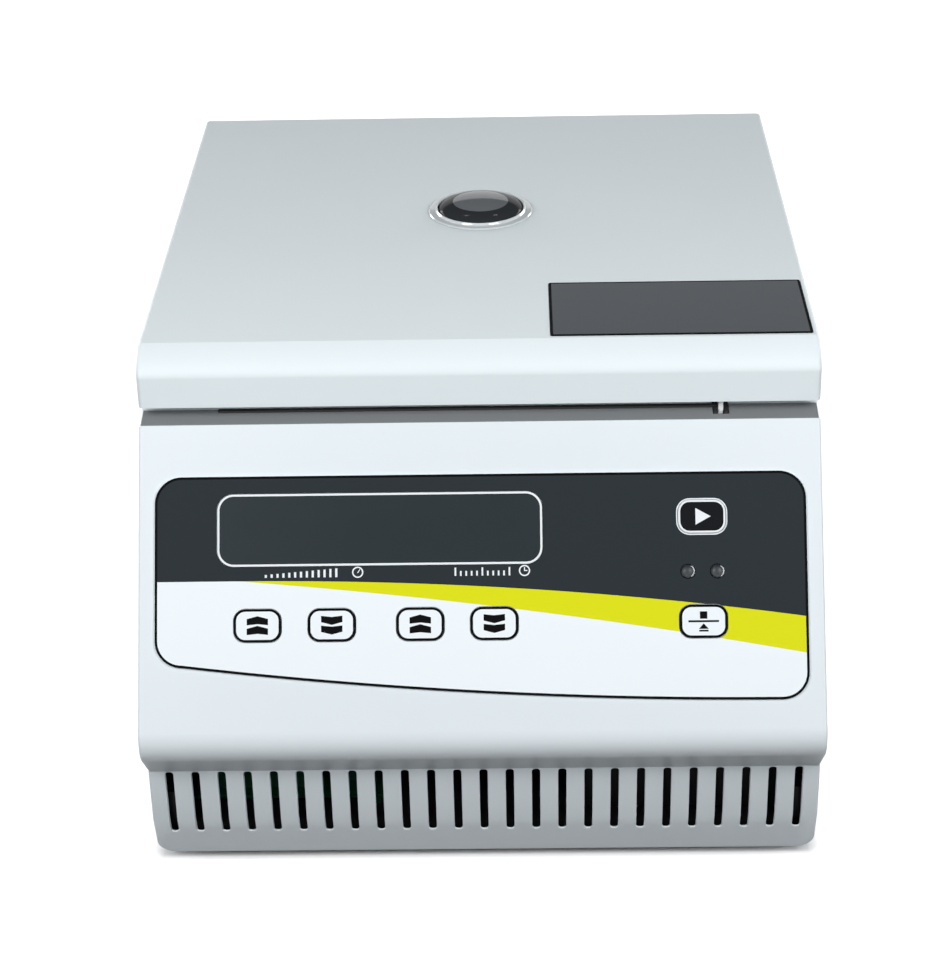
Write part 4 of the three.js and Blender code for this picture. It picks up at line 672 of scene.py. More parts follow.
def brushed_group():
    """Long scratches along one direction, set by how the pattern is stretched."""
    group, start, end = shader_group(
        "brushed surface",
        [
            ("Colour", "Color", (0.7, 0.7, 0.7, 1)), ("Clouding", "Float", 0.1),
            ("Stretch", "Vector", (20.0, 900.0, 900.0)), ("Roughness", "Float", 0.3),
            ("Roughness Spread", "Float", 0.15),
        ],
        SURFACE_OUTPUTS,
    )
    inputs = {0: object_place(group), 1: start.outputs["Stretch"]}
    stretched = add_node(group, "ShaderNodeVectorMath", inputs, operation="MULTIPLY")
    lines = add_noise(group, stretched.outputs[0], 1.0, 3.0, 0.6)
    return end_surface(group, start, end, lines, lines, lines)


def turned_group():
    """Fine rings round an upright axis, as a lathe leaves them."""
    group, start, end = shader_group(
        "turned surface",
        [
            ("Colour", "Color", (0.7, 0.7, 0.7, 1)), ("Clouding", "Float", 0.12),
            ("Centre", "Vector", (0.0, 0.0, 0.0)), ("Ring Scale", "Float", 900.0),
            ("Roughness", "Float", 0.25), ("Roughness Spread", "Float", 0.15),
        ],
        SURFACE_OUTPUTS,
    )
    inputs = {0: object_place(group), 1: start.outputs["Centre"]}
    centred = add_node(group, "ShaderNodeVectorMath", inputs, operation="SUBTRACT")
    parts = add_node(group, "ShaderNodeSeparateXYZ", {0: centred.outputs[0]})
    squares = [add_math(group, "MULTIPLY", parts.outputs[c], parts.outputs[c]) for c in "XY"]
    radius = add_math(group, "SQRT", add_math(group, "ADD", *squares))
    ring = add_node(group, "ShaderNodeCombineXYZ", {"X": radius, "Z": parts.outputs["Z"]})
    lines = add_noise(group, ring.outputs[0], start.outputs["Ring Scale"], 2.0, 0.6)
    return end_surface(group, start, end, lines, lines, lines)


def worn_group():
    """Slight wear where a surface is sharply convex."""
    group, start, end = shader_group(
        "worn edges",
        [
            ("Colour", "Color", (0.5, 0.5, 0.5, 1)), ("Worn Colour", "Color", (0.7, 0.7, 0.7, 1)),
            ("Wear", "Float", 0.5),
        ],
        [("Colour", "Color")],
    )
    edge = group.nodes.new("ShaderNodeNewGeometry").outputs["Pointiness"]
    patches = add_noise(group, object_place(group), 160.0, 4.0, 0.7)
    raised = add_math(group, "MULTIPLY", add_math(group, "SUBTRACT", edge, 0.53), 9.0)
    inputs = {0: add_math(group, "MULTIPLY", raised, patches), 1: start.outputs["Wear"]}
    mask = add_node(group, "ShaderNodeMath", inputs, operation="MULTIPLY", use_clamp=True)
    inputs = {"Factor": mask.outputs[0], 6: start.outputs["Colour"], 7: start.outputs["Worn Colour"]}
    mix = add_node(group, "ShaderNodeMix", inputs, data_type="RGBA")
    group.links.new(mix.outputs[2], end.inputs["Colour"])
    return group


@cache
def shared_group(kind):
    makers = {
        "moulded": moulded_group, "brushed": brushed_group, "turned": turned_group, "worn": worn_group,
    }
    return makers[kind]()


def dressed(name, kind, colour, values, shader, bump, wear=None):
    """A material: a shared surface group, the wear if any, and the shader's own settings."""
    made = bpy.data.materials.new(f"{name}_finish")
    made.use_nodes = True
    tree = made.node_tree
    surface = tree.nodes["Principled BSDF"]
    for label, value in shader.items():
        surface.inputs[label].default_value = value
    inputs = {"Colour": (*colour, 1), **values}
    group = add_node(tree, "ShaderNodeGroup", inputs, node_tree=shared_group(kind))
    seen = group.outputs["Colour"]
    if wear:
        inputs = {"Colour": seen, "Worn Colour": (*wear[0], 1), "Wear": wear[1]}
        seen = add_node(tree, "ShaderNodeGroup", inputs, node_tree=shared_group("worn")).outputs[0]
    tree.links.new(seen, surface.inputs["Base Color"])
    tree.links.new(group.outputs["Roughness"], surface.inputs["Roughness"])
    if bump:
        inputs = {"Strength": 1.0, "Distance": bump * MM, "Height": group.outputs["Height"]}
        relief = add_node(tree, "ShaderNodeBump", inputs)
        tree.links.new(relief.outputs["Normal"], surface.inputs["Normal"])
    return made


def moulded(name, colour, roughness, grain=1400.0, bump=0.01, clouding=0.04, wear=None, **shader):
    values = {"Roughness": roughness, "Grain Scale": grain, "Clouding": clouding}
    labels = {
        label.replace("_", " ").title().replace("Ior", "IOR"): value for label, value in shader.items()
    }
    return dressed(name, "moulded", colour, values, labels, bump, wear)


def film(name, colour):
    """Ink under a matt polyester film."""
    return moulded(
        name, colour, 0.55, grain=2200.0, bump=0.004, clouding=0.02, specular_ior_level=0.04
    )


def brushed(name, colour, roughness, stretch, bump=0.004, wear=None, metallic=1.0):
    values = {"Roughness": roughness, "Stretch": stretch}
    return dressed(name, "brushed", colour, values, {"Metallic": metallic}, bump, wear)


def turned_metal(name, colour, roughness, rings=900.0, bump=0.004):
    values = {
        "Roughness": roughness, "Ring Scale": rings, "Centre": (0.0, CHAMBER_Y * MM, 0.0),
    }
    return dressed(name, "turned", colour, values, {"Metallic": 1.0}, bump)


@cache
def material(name):
    colours = bpy.context.scene.centrifuge_colours
    bright = (0.75, 0.76, 0.77)
    makers = {
        "casing_white": lambda: moulded(name, colours.casing, 0.42, bump=0.012, clouding=0.02),
        "lid_white": lambda: moulded(
            name, colours.lid, 0.46, grain=900.0, bump=0.012, clouding=0.03, specular_ior_level=0.3
        ),
        # painted shade: a dark grey for the ledge that lies in the lid's shadow
        "ledge_painted_shade": lambda: moulded(name, (0.21, 0.225, 0.235), 0.5, bump=0.012),
        # painted shade: near black for the casing's inside, the power supply and the latch guide, where shade
        # falls behind the slots and under the lid
        "inside_painted_shade": lambda: moulded(name, (0.012, 0.012, 0.013), 0.7, bump=0.012),
        # painted shade: the near-black band round the sight dome, kept weakly reflective
        "dome_band_painted_shade": lambda: moulded(
            name, (0.028, 0.031, 0.034), 0.1, bump=0.0, specular_ior_level=0.05
        ),
        # painted light: a near-white hook, made pale so that it reads bright in the lid's shadow
        "hook_painted_light": lambda: moulded(name, (0.90, 0.92, 0.93), 0.35, bump=0.004),
        "liner_plastic": lambda: moulded(name, (0.70, 0.72, 0.73), 0.55, bump=0.02),
        "painted_steel": lambda: moulded(
            name, (0.60, 0.63, 0.65), 0.5, grain=700.0, bump=0.05, wear=((0.35, 0.35, 0.36), 0.5)
        ),
        "zinc_steel": lambda: brushed(
            name, (0.47, 0.48, 0.49), 0.36, (60.0, 500.0, 500.0), wear=(bright, 0.4)
        ),
        "bright_steel": lambda: brushed(name, (0.70, 0.71, 0.72), 0.2, (900.0, 900.0, 60.0)),
        "bowl_steel": lambda: turned_metal(name, (0.66, 0.67, 0.68), 0.28, 700.0, 0.006),
        "cast_aluminium": lambda: moulded(
            name, (0.58, 0.59, 0.60), 0.45, grain=500.0, bump=0.08, metallic=1.0
        ),
        "rotor_aluminium": lambda: turned_metal(name, (0.68, 0.69, 0.71), 0.3, 1500.0, 0.004),
        "rubber_black": lambda: moulded(name, (0.022, 0.022, 0.024), 0.75, grain=1100.0, bump=0.03),
        "black_plastic": lambda: moulded(
            name, (0.022, 0.023, 0.026), 0.45, grain=1600.0, bump=0.02, wear=((0.1, 0.1, 0.105), 0.4)
        ),
        "overlay_film": lambda: film(name, colours.field),
        "film_stripe": lambda: film(name, colours.stripe),
        "film_paper": lambda: film(name, colours.paper),
        "ink_black": lambda: film(name, (0.003, 0.003, 0.004)),
        # white print, also used for the lamps' painted highlight
        "white_ink_and_painted_highlight": lambda: film(name, (0.80, 0.84, 0.87)),
        "smoked_window": lambda: moulded(
            name, (0.027, 0.0355, 0.041), 0.3, bump=0.0, clouding=0.1, specular_ior_level=0.12
        ),
        "smoked_glass": lambda: moulded(
            name, (0.26, 0.28, 0.30), 0.06, bump=0.0, transmission_weight=0.5, specular_ior_level=0.2
        ),
        "clear_ring": lambda: moulded(name, (0.60, 0.64, 0.66), 0.1, bump=0.0, coat_weight=0.6),
        "plate_grey": lambda: moulded(name, colours.plate, 0.3, grain=2200.0, bump=0.003),
        "lamp_lens": lambda: moulded(name, (0.020, 0.025, 0.029), 0.45, bump=0.0),
        "key_white": lambda: film(name, colours.paper),
        "key_dark": lambda: film(name, (0.008, 0.009, 0.011)),
        # painted shade: a near-black base plate, for the dark seen through the slots
        "base_plate_painted_shade": lambda: moulded(name, (0.02, 0.02, 0.022), 0.5, grain=700.0, bump=0.05),
        "circuit_board": lambda: moulded(name, (0.012, 0.11, 0.045), 0.35, grain=260.0, bump=0.02),
    }
    return makers[name]()


# Shapes of single pieces


# Their own sizes and places, in millimetres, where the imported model's boxes don't give them
OVERRUN = 2
GLASS_HOLE_RADIUS = 19.8
BOWL_HOLE_RADIUS = 105.9
RIM_REACH, PLINTH_REACH, NOSE_REACH = 63.5, 70.5, 90.06
NOSE_Z, PLINTH_TOP_Z, SKIRT_Z = 71.7, 51, 25.7
LEDGE_Z, LEDGE_DEPTH = 184.5, 15
RIM_WALL = -2.0
PLINTH_Y = CREASE_Y - PLINTH_REACH
SLOT_TOP = 50.4
SLOT_HEIGHT = 32.0
BOSS_INSET = 8.2
BOSSES_Y = (BASE_LOW.y + 6.3, REAR_Y - 9.7)
BOARD_FACE = -14.1
PANEL_WIDTH, PANEL_HEIGHT = 266, 93
WINDOW = {
    "centre": (-0.154 * PANEL_WIDTH, 0.262 * PANEL_HEIGHT), "size": (133.4, 30.2), "radius": 7.0,
}
KEY_SIZE = (19.9, 14.1)
KEY_RADIUS = 5.0
KEY_FACE_LOW, KEY_STEM_END = 0.9, -9.8
LAMP_RADIUS = 2.8
KNUCKLE_RADIUS, HINGE_BORE_RADIUS = 3.7, 1.8
LEAF_HALF_WIDTH, LEAF_REACH, LEAF_OUTER_FACE = 22, 21.7, 1.7
HINGE_SCREW_PITCH = 14


def case_corners():
    """The casing's side view, as [y, z, radius]."""
    corners = [
        [-RIM_REACH, RIM_Z, 0], [DECK_DEPTH, RIM_Z, 0], [DECK_DEPTH, DECK_Z, 3], [-1.5, DECK_Z, 3],
        [-4.2, 186.2, 1.5], [-LEDGE_DEPTH, LEDGE_Z, 1.2], [-NOSE_REACH, NOSE_Z, 12],
        [-PLINTH_REACH, PLINTH_TOP_Z, 0], [-PLINTH_REACH, SKIRT_Z, 0],
    ]
    return [[y + CREASE_Y, z, radius] for y, z, radius in corners]


def panel_place(node):
    """The middle of a panel piece, across and up the slope, and its front face."""
    low, high = box_mm(node)
    middle = TO_PANEL @ ((low + high) / 2)
    corners = [TO_PANEL @ (Vector(v.co) / MM) for v in frame["nodes"][node].data.vertices]
    ups = [c.y for c in corners]
    return middle.x, (max(ups) + min(ups)) / 2, max(c.z for c in corners)


KEYS = ["key_speed_up", "key_speed_down", "key_time_up", "key_time_down", "key_run", "key_stop"]
LAMPS = ["lamp_left", "lamp_right"]
PLACES = {name: panel_place(name) for name in KEYS + LAMPS}


class MakeCasing(bpy.types.Operator):
    """Casing with its sloping panel, nose, slotted plinth and deck"""

    bl_idname = "centrifuge.make_casing"
    bl_label = "Casing"

    def execute(self, context):
        sizes = context.scene.centrifuge_case
        wall, edge = sizes.wall / MM, sizes.edge / MM
        corners = case_corners()
        casing = shape("casing_shell", prism(rounded(corners, 10), -HALF_WIDTH, HALF_WIDTH, along_x))

        def on_side(e):
            return {abs(f.normal.x) > 0.99 for f in e.link_faces} == {True, False}

        soften(casing, on_side, edge, 5)
        foot = sizes.foot_corner / MM
        envelope = [
            [-HALF_WIDTH, RIM_Z, foot], [HALF_WIDTH, RIM_Z, foot], [HALF_WIDTH, DECK_Z, 0],
            [-HALF_WIDTH, DECK_Z, 0],
        ]
        front_view = shape("envelope", prism(rounded(envelope, 10), -190, 190, along_y))
        carve(casing, front_view, operation="INTERSECT")
        walls = [RIM_WALL] + [wall] * (len(corners) - 1)
        inner = HALF_WIDTH - wall
        hollow = shape("hollow", prism(rounded(inset(corners, walls), 8), -inner, inner, along_x))
        carve(casing, hollow)
        carve(casing, self.posts(), operation="UNION")
        hole = rod(BOWL_HOLE_RADIUS, DECK_Z - 6, DECK_Z + 3, upright(0, CHAMBER_Y), 160)
        opening = shape(
            "rear_opening", prism(rectangle(-125, 125, 17, 157.5, 4), REAR_Y - 6, REAR_Y + 3, along_y)
        )
        low, high = box_mm("latch_guide")
        guide = shape(
            "guide_hole",
            block(
                (low.x - SEAT, high.x + SEAT), (low.y - SEAT, high.y + SEAT), (low.z - 3, DECK_Z + 3)
            ),
        )
        carve(casing, shape("bowl_hole", hole), opening, guide, self.panel_openings())
        half = sizes.slot_width / MM / 2
        mouth = rectangle(-half, half, SLOT_TOP - SLOT_HEIGHT, SLOT_TOP, 1.3, 4)
        behind = rectangle(-half, half, SLOT_TOP - SLOT_HEIGHT - 2.2, SLOT_TOP, 1.3, 4)
        sill = PLINTH_Y + 3.4
        cutter = shape(
            "slot",
            stacked(
                [(mouth, PLINTH_Y - 2), (mouth, sill), (behind, sill + 0.01), (behind, PLINTH_Y + 7)],
                along_y,
            ),
        )
        slots = repeat(
            "row", "slots", cutter, "casing_white", {"Count": sizes.slots, "Pitch": sizes.slot_pitch}
        )
        carve(casing, slots)

        def at_slot_mouth(e):
            inner_wall, outer_wall = sorted(e.link_faces, key=lambda f: abs(f.normal.y))
            if abs(inner_wall.normal.y) > 0.01 or outer_wall.normal.y > -0.9:
                return False
            middle = (e.verts[0].co + e.verts[1].co) / 2 / MM
            return middle.y < PLINTH_Y + 2.6 and abs(middle.x) < HALF_WIDTH - 4 and 18 < middle.z < 51

        soften(casing, at_slot_mouth, sizes.slot_edge / MM, 2)
        slack = 0.1
        walls = [RIM_WALL] + [wall - slack] * (len(corners) - 1)
        self.mark_faces(casing, rounded(inset(corners, walls), 8), inner + slack)
        place_piece(
            casing, "base", "casing_white", ["casing"],
            ["casing_white", "ledge_painted_shade", "inside_painted_shade"], smooth=28,
        )
        # painted shadow: a black strip on the ledge, standing for the dark gap under the lid's edge
        outline = rectangle(-108, 102, CREASE_Y - 6.8, CREASE_Y - 4.4, 0.5)
        strip = shape("lid_rest", prism(outline, LEDGE_Z + 0.3, LEDGE_Z + 2.2, along_z))
        place_piece(strip, "base", "rubber_black", (), bevel=0.3)
        return {"FINISHED"}

    def mark_faces(self, casing, cavity, reach):
        """Gives the level ledge under the lid a dark grey as painted shade from the lid, and the inside a
        near-black painted shade.
        """
        for face in casing.data.polygons:
            x, y, z = face.center / MM
            over_ledge = 0.1 - LEDGE_DEPTH < y - CREASE_Y < -2
            on_ledge = over_ledge and z > LEDGE_Z - 0.5 and face.normal.z > 0.9
            within = abs(x) < reach and inside(Vector((y, z)), cavity)
            face.material_index = 1 if on_ledge else 2 if within else 0

    def posts(self):
        """Posts for the control board and bosses for the base plate's screws."""
        bodies = []
        post_radius, boss_radius = 4, 5
        boss_low, boss_high = 11.3, 33
        half_rib = 1.25
        for across in (-114, 114):
            for up in (-27.12, 36.88):
                bodies.append(rod(post_radius, BOARD_FACE, -half_rib, panel_axis(across, up), 32))
        for side in (-1, 1):
            for y in BOSSES_Y:
                x = side * (HALF_WIDTH - BOSS_INSET)
                near, far = sorted((x, side * (HALF_WIDTH - half_rib)))
                rib = rectangle(near, far, y - half_rib, y + half_rib)
                bodies.append(prism(rib, boss_low, boss_high, along_z))
                bodies.append(rod(boss_radius, boss_low, boss_high, upright(x, y), 32))
        made = shape("posts", *bodies[:1])
        for body in bodies[1:]:
            carve(made, shape("post", body), operation="UNION")
        return made

    def panel_openings(self):
        low, high = -5, 3
        holes = [middle_rectangle(WINDOW["centre"], 134.2, 31, 1)]
        holes += [middle_rectangle(PLACES[key], 9.8, 6.8, 0.6) for key in KEYS]
        cutters = [prism(hole, low, high, on_panel) for hole in holes]
        cutters += [
            rod(LAMP_RADIUS + 0.4, low, high, panel_axis(*PLACES[lamp][:2]), 24) for lamp in LAMPS
        ]
        return shape("panel_openings", *cutters)


def lid_outline(wall, below):
    """The lid's side view: a flat top, a small rear radius and a curved front."""
    overhang, front_height, rear_radius = 12, 13, 4
    front, top = CREASE_Y - overhang + wall, LID_TOP - wall
    rear, low = REAR_Y - wall, LID_Z - below
    bend = LID_Z + front_height - wall
    corner = rear_radius - wall / 2
    return [
        Vector((rear, low)),
        *arc((rear - corner, top - corner), corner, 0, 90, 8),
        *bent((CREASE_Y + wall / 2, top), (front, bend + 5), (front, bend), 20),
        Vector((front, low)),
    ]


PLATE_LOW, PLATE_HIGH = box_mm("name_plate")


class MakeLid(bpy.types.Operator):
    """Lid shell, its liner and the bare plate"""

    bl_idname = "centrifuge.make_lid"
    bl_label = "Lid"

    def execute(self, context):
        sizes = context.scene.centrifuge_case
        wall, edge = sizes.wall / MM, sizes.edge / MM
        lid = shape("lid_cover", prism(lid_outline(0, 0), -HALF_WIDTH, HALF_WIDTH, along_x))

        def on_side(e):
            upper = any(v.co.z / MM > LID_Z + 0.5 for v in e.verts)
            return upper and {abs(f.normal.x) > 0.99 for f in e.link_faces} == {True, False}

        soften(lid, on_side, edge, 5)
        inner = HALF_WIDTH - wall
        hollow = shape("hollow", prism(lid_outline(wall, 2), -inner, inner, along_x))
        hole = rod(GLASS_HOLE_RADIUS, LID_TOP - 5, LID_TOP + 3, upright(0, CHAMBER_Y), 96)
        bed = shape(
            "plate_bed",
            prism(
                rectangle(
                    PLATE_LOW.x - SEAT, PLATE_HIGH.x + SEAT, PLATE_LOW.y - SEAT, PLATE_HIGH.y + SEAT, 1
                ),
                PLATE_LOW.z - SEAT, LID_TOP + 3, along_z,
            ),
        )
        carve(lid, hollow, shape("glass_hole", hole), bed)
        place_piece(lid, "lid", "lid_white", ["lid_shell"], smooth=22)
        self.liner()
        self.plate()
        return {"FINISHED"}

    def liner(self):
        low, high = box_mm("lid_liner")
        sheet_low = high.z - 2
        liner = shape(
            "lid_lining", prism(rectangle(low.x, high.x, low.y, high.y, 3), sheet_low, high.z, along_z)
        )
        axis = upright(0, CHAMBER_Y)
        rim = lathe(
            [(112.4, low.z + 0.5), (112.9, low.z), (113.7, low.z), (114.2, low.z + 0.5),
             (114.2, high.z - 1), (112.4, high.z - 1)],
            axis, 160,
        )
        carve(liner, shape("rim", rim), operation="UNION")
        hook_low, hook_high = box_mm("latch_hook")
        middle = (hook_low.x + hook_high.x) / 2
        slit = block(
            (middle - 1.3, middle + 1.3), (hook_low.y - SEAT, hook_low.y + 8 + SEAT),
            (sheet_low - 2, high.z + 2),
        )
        hole = rod(GLASS_HOLE_RADIUS, sheet_low - 3, high.z + 2, axis, 96)
        carve(liner, shape("slit", slit), shape("hole", hole))
        place_piece(liner, "lid", "liner_plastic", ["lid_liner"], bevel=0.3)

    def plate(self):
        middle = (PLATE_LOW + PLATE_HIGH) / 2
        size = PLATE_HIGH - PLATE_LOW
        frame_line = 1.0
        outline = middle_rectangle(middle, size.x, size.y, 1.0)
        face = middle_rectangle(middle, size.x, size.y, 1.4, frame_line)
        plate = shape(
            "bare_plate",
            printed(outline, [], [(face, 1)], PLATE_LOW.z, PLATE_HIGH.z, along_z),
        )
        place_piece(
            plate, "lid", "plate_grey", ["name_plate"], ["ink_black", "plate_grey"]
        )


class MakeSight(bpy.types.Operator):
    """Sight glass, its ring and its nut"""

    bl_idname = "centrifuge.make_sight"
    bl_label = "Sight glass"

    def execute(self, context):
        axis = upright(0, CHAMBER_Y)
        low, high = box_mm("sight_glass")
        foot = LID_TOP + 0.8
        rise = high.z - foot
        outer, inner, band = 19.5, 17.0, 12.8
        steps = 20
        angles = [QUARTER * k / steps for k in range(steps)]
        dome = [(outer * math.cos(a), foot + rise * math.sin(a)) for a in angles]
        wall = 2.5
        under = [(inner * math.cos(a), foot + (rise - wall) * math.sin(a)) for a in angles]
        profile = [(inner, low.z), (outer, low.z), *dome, (0, high.z), (0, high.z - wall)]
        glass = shape("sight_dome", lathe(profile + under[::-1], axis, 128))
        # painted shade: faces beyond the band's radius take a near-black finish, standing for the dome's dark
        # reflection
        for face in glass.data.polygons:
            x, y, z = face.center / MM
            face.material_index = int(math.hypot(x, y - CHAMBER_Y) > band)
        place_piece(
            glass, "lid", "smoked_glass", ["sight_glass"], ["smoked_glass", "dome_band_painted_shade"], smooth=40
        )

        low, high = box_mm("sight_ring")
        bore, rim = GLASS_HOLE_RADIUS, 23.9
        profile = [
            (bore, low.z), (rim, low.z), (rim, low.z + 0.3), (23.4, low.z + 0.8),
            (20.9, low.z + 1.0), (20.6, high.z - 0.3), (20.3, high.z), (bore, high.z - 0.3),
        ]
        turned_piece("sight_bezel", profile, axis, "lid", "clear_ring", "sight_ring", 128, 40)

        low, high = box_mm("sight_nut")
        nut = shape(
            "sight_collar",
            lathe(
                [(bore, low.z), (23.5, low.z), (24.0, low.z + 0.5), (24.0, high.z), (bore, high.z)],
                axis, 96,
            ),
        )
        notch = prism(rectangle(22.6, 26, -1.5, 1.5), low.z - 1, high.z + 1, along_z)
        notches = repeat("ring", "notches", shape("notch", notch), "black_plastic", {"Count": 12})
        carve(nut, moved(notches, y=CHAMBER_Y))
        place_piece(nut, "lid", "black_plastic", ["sight_nut"])
        return {"FINISHED"}


class MakeChamber(bpy.types.Operator):
    """Bowl, its seal and the shaft"""

    bl_idname = "centrifuge.make_chamber"
    bl_label = "Chamber"

    def execute(self, context):
        axis = upright(0, CHAMBER_Y)
        low, high = BOWL_LOW, BOWL_HIGH
        floor = low.z + 1.5
        bend, wall = 12, 1.5
        inner = arc((92, floor + bend), bend, -90, 0, 14)
        outer = arc((92, floor + bend), bend + wall, -90, 0, 14)
        lip, hole = high.z, 16
        profile = [
            (hole, low.z), *outer, (105.5, lip - wall), (112, lip - wall), (112, lip), (105, lip),
            (104.3, lip - 0.3), (104, lip - 1.0), *inner[::-1], (hole, floor),
        ]
        turned_piece("bowl_pan", profile, axis, "base", "bowl_steel", "bowl", 160)

        low, high = box_mm("bowl_seal")
        inside_radius, outside_radius = 106.7, 111.7
        profile = [
            (inside_radius, low.z), (outside_radius, low.z), (outside_radius, high.z - 1.6),
            (111.2, high.z - 1.0), *arc((109.2, high.z - 1.2), 1.2, 10, 170, 8),
            (107.2, high.z - 1.0), (inside_radius, high.z - 1.6),
        ]
        turned_piece("bowl_gasket", profile, axis, "base", "rubber_black", "bowl_seal", 160, 40)

        low, high = box_mm("drive_shaft")
        shoulder = DISC_LOW.z + 11
        profile = [
            (0, low.z), (5.5, low.z), (6, low.z + 0.5), (6, shoulder), (4, shoulder),
            (4, high.z - 1), (3, high.z), (0, high.z),
        ]
        turned_piece("spindle", profile, axis, "rotor", "bright_steel", "drive_shaft", 64)
        return {"FINISHED"}


class MakeRotor(bpy.types.Operator):
    """Grooved disc, its rubber ring, its cover and the knob"""

    bl_idname = "centrifuge.make_rotor"
    bl_label = "Rotor"

    def execute(self, context):
        axis = upright(0, CHAMBER_Y)
        low = DISC_LOW.z
        web = low + 6
        bed = web + 5
        rim = DISC_HIGH.z
        disc = shape(
            "rotor_plate",
            lathe(
                [(6.3, low), (14.5, low), (15, low + 0.5), (15, web), (92.5, web), (95, web + 2.5),
                 (95, rim - 0.6), (94.4, rim), (92.1, rim), (91.5, rim - 0.6), (91.5, bed), (12, bed),
                 (12, bed + 3.2), (11.6, bed + 3.6), (4.3, bed + 3.6), (4.3, bed + 0.3),
                 (6.3, bed + 0.3)],
                axis, 192,
            ),
        )
        groove = prism(
            rectangle(20, 87.9, -1.2, 1.2, 1.15, 6), bed - 2, bed + 2, along_z
        )
        grooves = repeat("ring", "grooves", shape("groove", groove), "rotor_aluminium", {"Count": 24})
        grooves.data.transform(Matrix.Rotation(QUARTER, 4, "Z"))
        carve(disc, moved(grooves, y=CHAMBER_Y))
        place_piece(disc, "rotor", "rotor_aluminium", ["rotor_disc"], smooth=35)

        low, high = box_mm("rotor_ring")
        profile = [
            (88.2, low.z), (91.2, low.z), (91.2, high.z - 0.4), (90.8, high.z), (88.6, high.z),
            (88.2, high.z - 0.4),
        ]
        turned_piece("rotor_cushion", profile, axis, "rotor", "rubber_black", "rotor_ring", 160, 50)

        low, high = box_mm("rotor_cover")
        thick, rise, edge = 2.5, 3.0, 0.4
        hole, outside = 9, 91.1
        profile = [
            (hole, low.z + rise), (26.6, low.z + rise), (29.4, low.z), (outside, low.z),
            (outside, low.z + thick - edge), (90.7, low.z + thick), (30.2, low.z + thick),
            (27.4, high.z), (9.4, high.z), (hole, high.z - edge),
        ]
        turned_piece(
            "rotor_lid", profile, axis, "rotor_cover", "rotor_aluminium", "rotor_cover", 192, 20
        )

        self.knob(axis)
        return {"FINISHED"}

    def knob(self, axis):
        low, high = box_mm("rotor_knob")
        flange = high.z - 15
        knob = shape(
            "rotor_grip",
            lathe(
                [(0, low.z), (8.6, low.z), (8.6, flange), (16, flange), (16, high.z - 2.5)]
                + arc((13.5, high.z - 2.5), 2.5, 10, 90, 8)
                + [(7, high.z), (6.4, high.z - 0.6), (0, high.z - 0.6)],
                axis, 96,
            ),
        )
        scallop = rod(5, flange + 2.5, high.z + 2, upright(0, -18.5), 40)
        scallops = repeat("ring", "scallops", shape("scallop", scallop), "black_plastic", {"Count": 6})
        bore = shape("bore", rod(4.4, low.z - 2, low.z + 14.1, axis, 48))
        carve(knob, moved(scallops, y=CHAMBER_Y), bore)
        place_piece(knob, "rotor_knob", "black_plastic", ["rotor_knob"], bevel=0.4)


def film_outline():
    half, high, corner, rise = PANEL_WIDTH / 2, PANEL_HEIGHT / 2, 11.0, 15.0
    return (
        arc((-half + corner, high - corner), corner, 90, 180, 12)
        + arc((-half + corner, -high + rise + corner), corner, 180, 270, 12)
        + bent((-half + corner, -high + rise), (0, -high), (half - corner, -high), 40)[1:-1]
        + arc((half - corner, -high + corner), corner, -90, 0, 12)
        + arc((half - corner, high - corner), corner, 0, 90, 12)
    )


def field_edge():
    """Lower edge of the dark field, from left to right."""
    curve = bent((-98.7, 3.6), (17.15, 3.6), (133, -13.0), 40)
    return [Vector((-140, 3.6)), *curve, Vector((140, -14.0))]


def stripe_edge():
    """Lower edge of the bright stripe, from left to right."""
    return [*bent((-98.7, 3.6), (17.15, -6.25), (133, -27.9), 40), Vector((140, -29.6))]


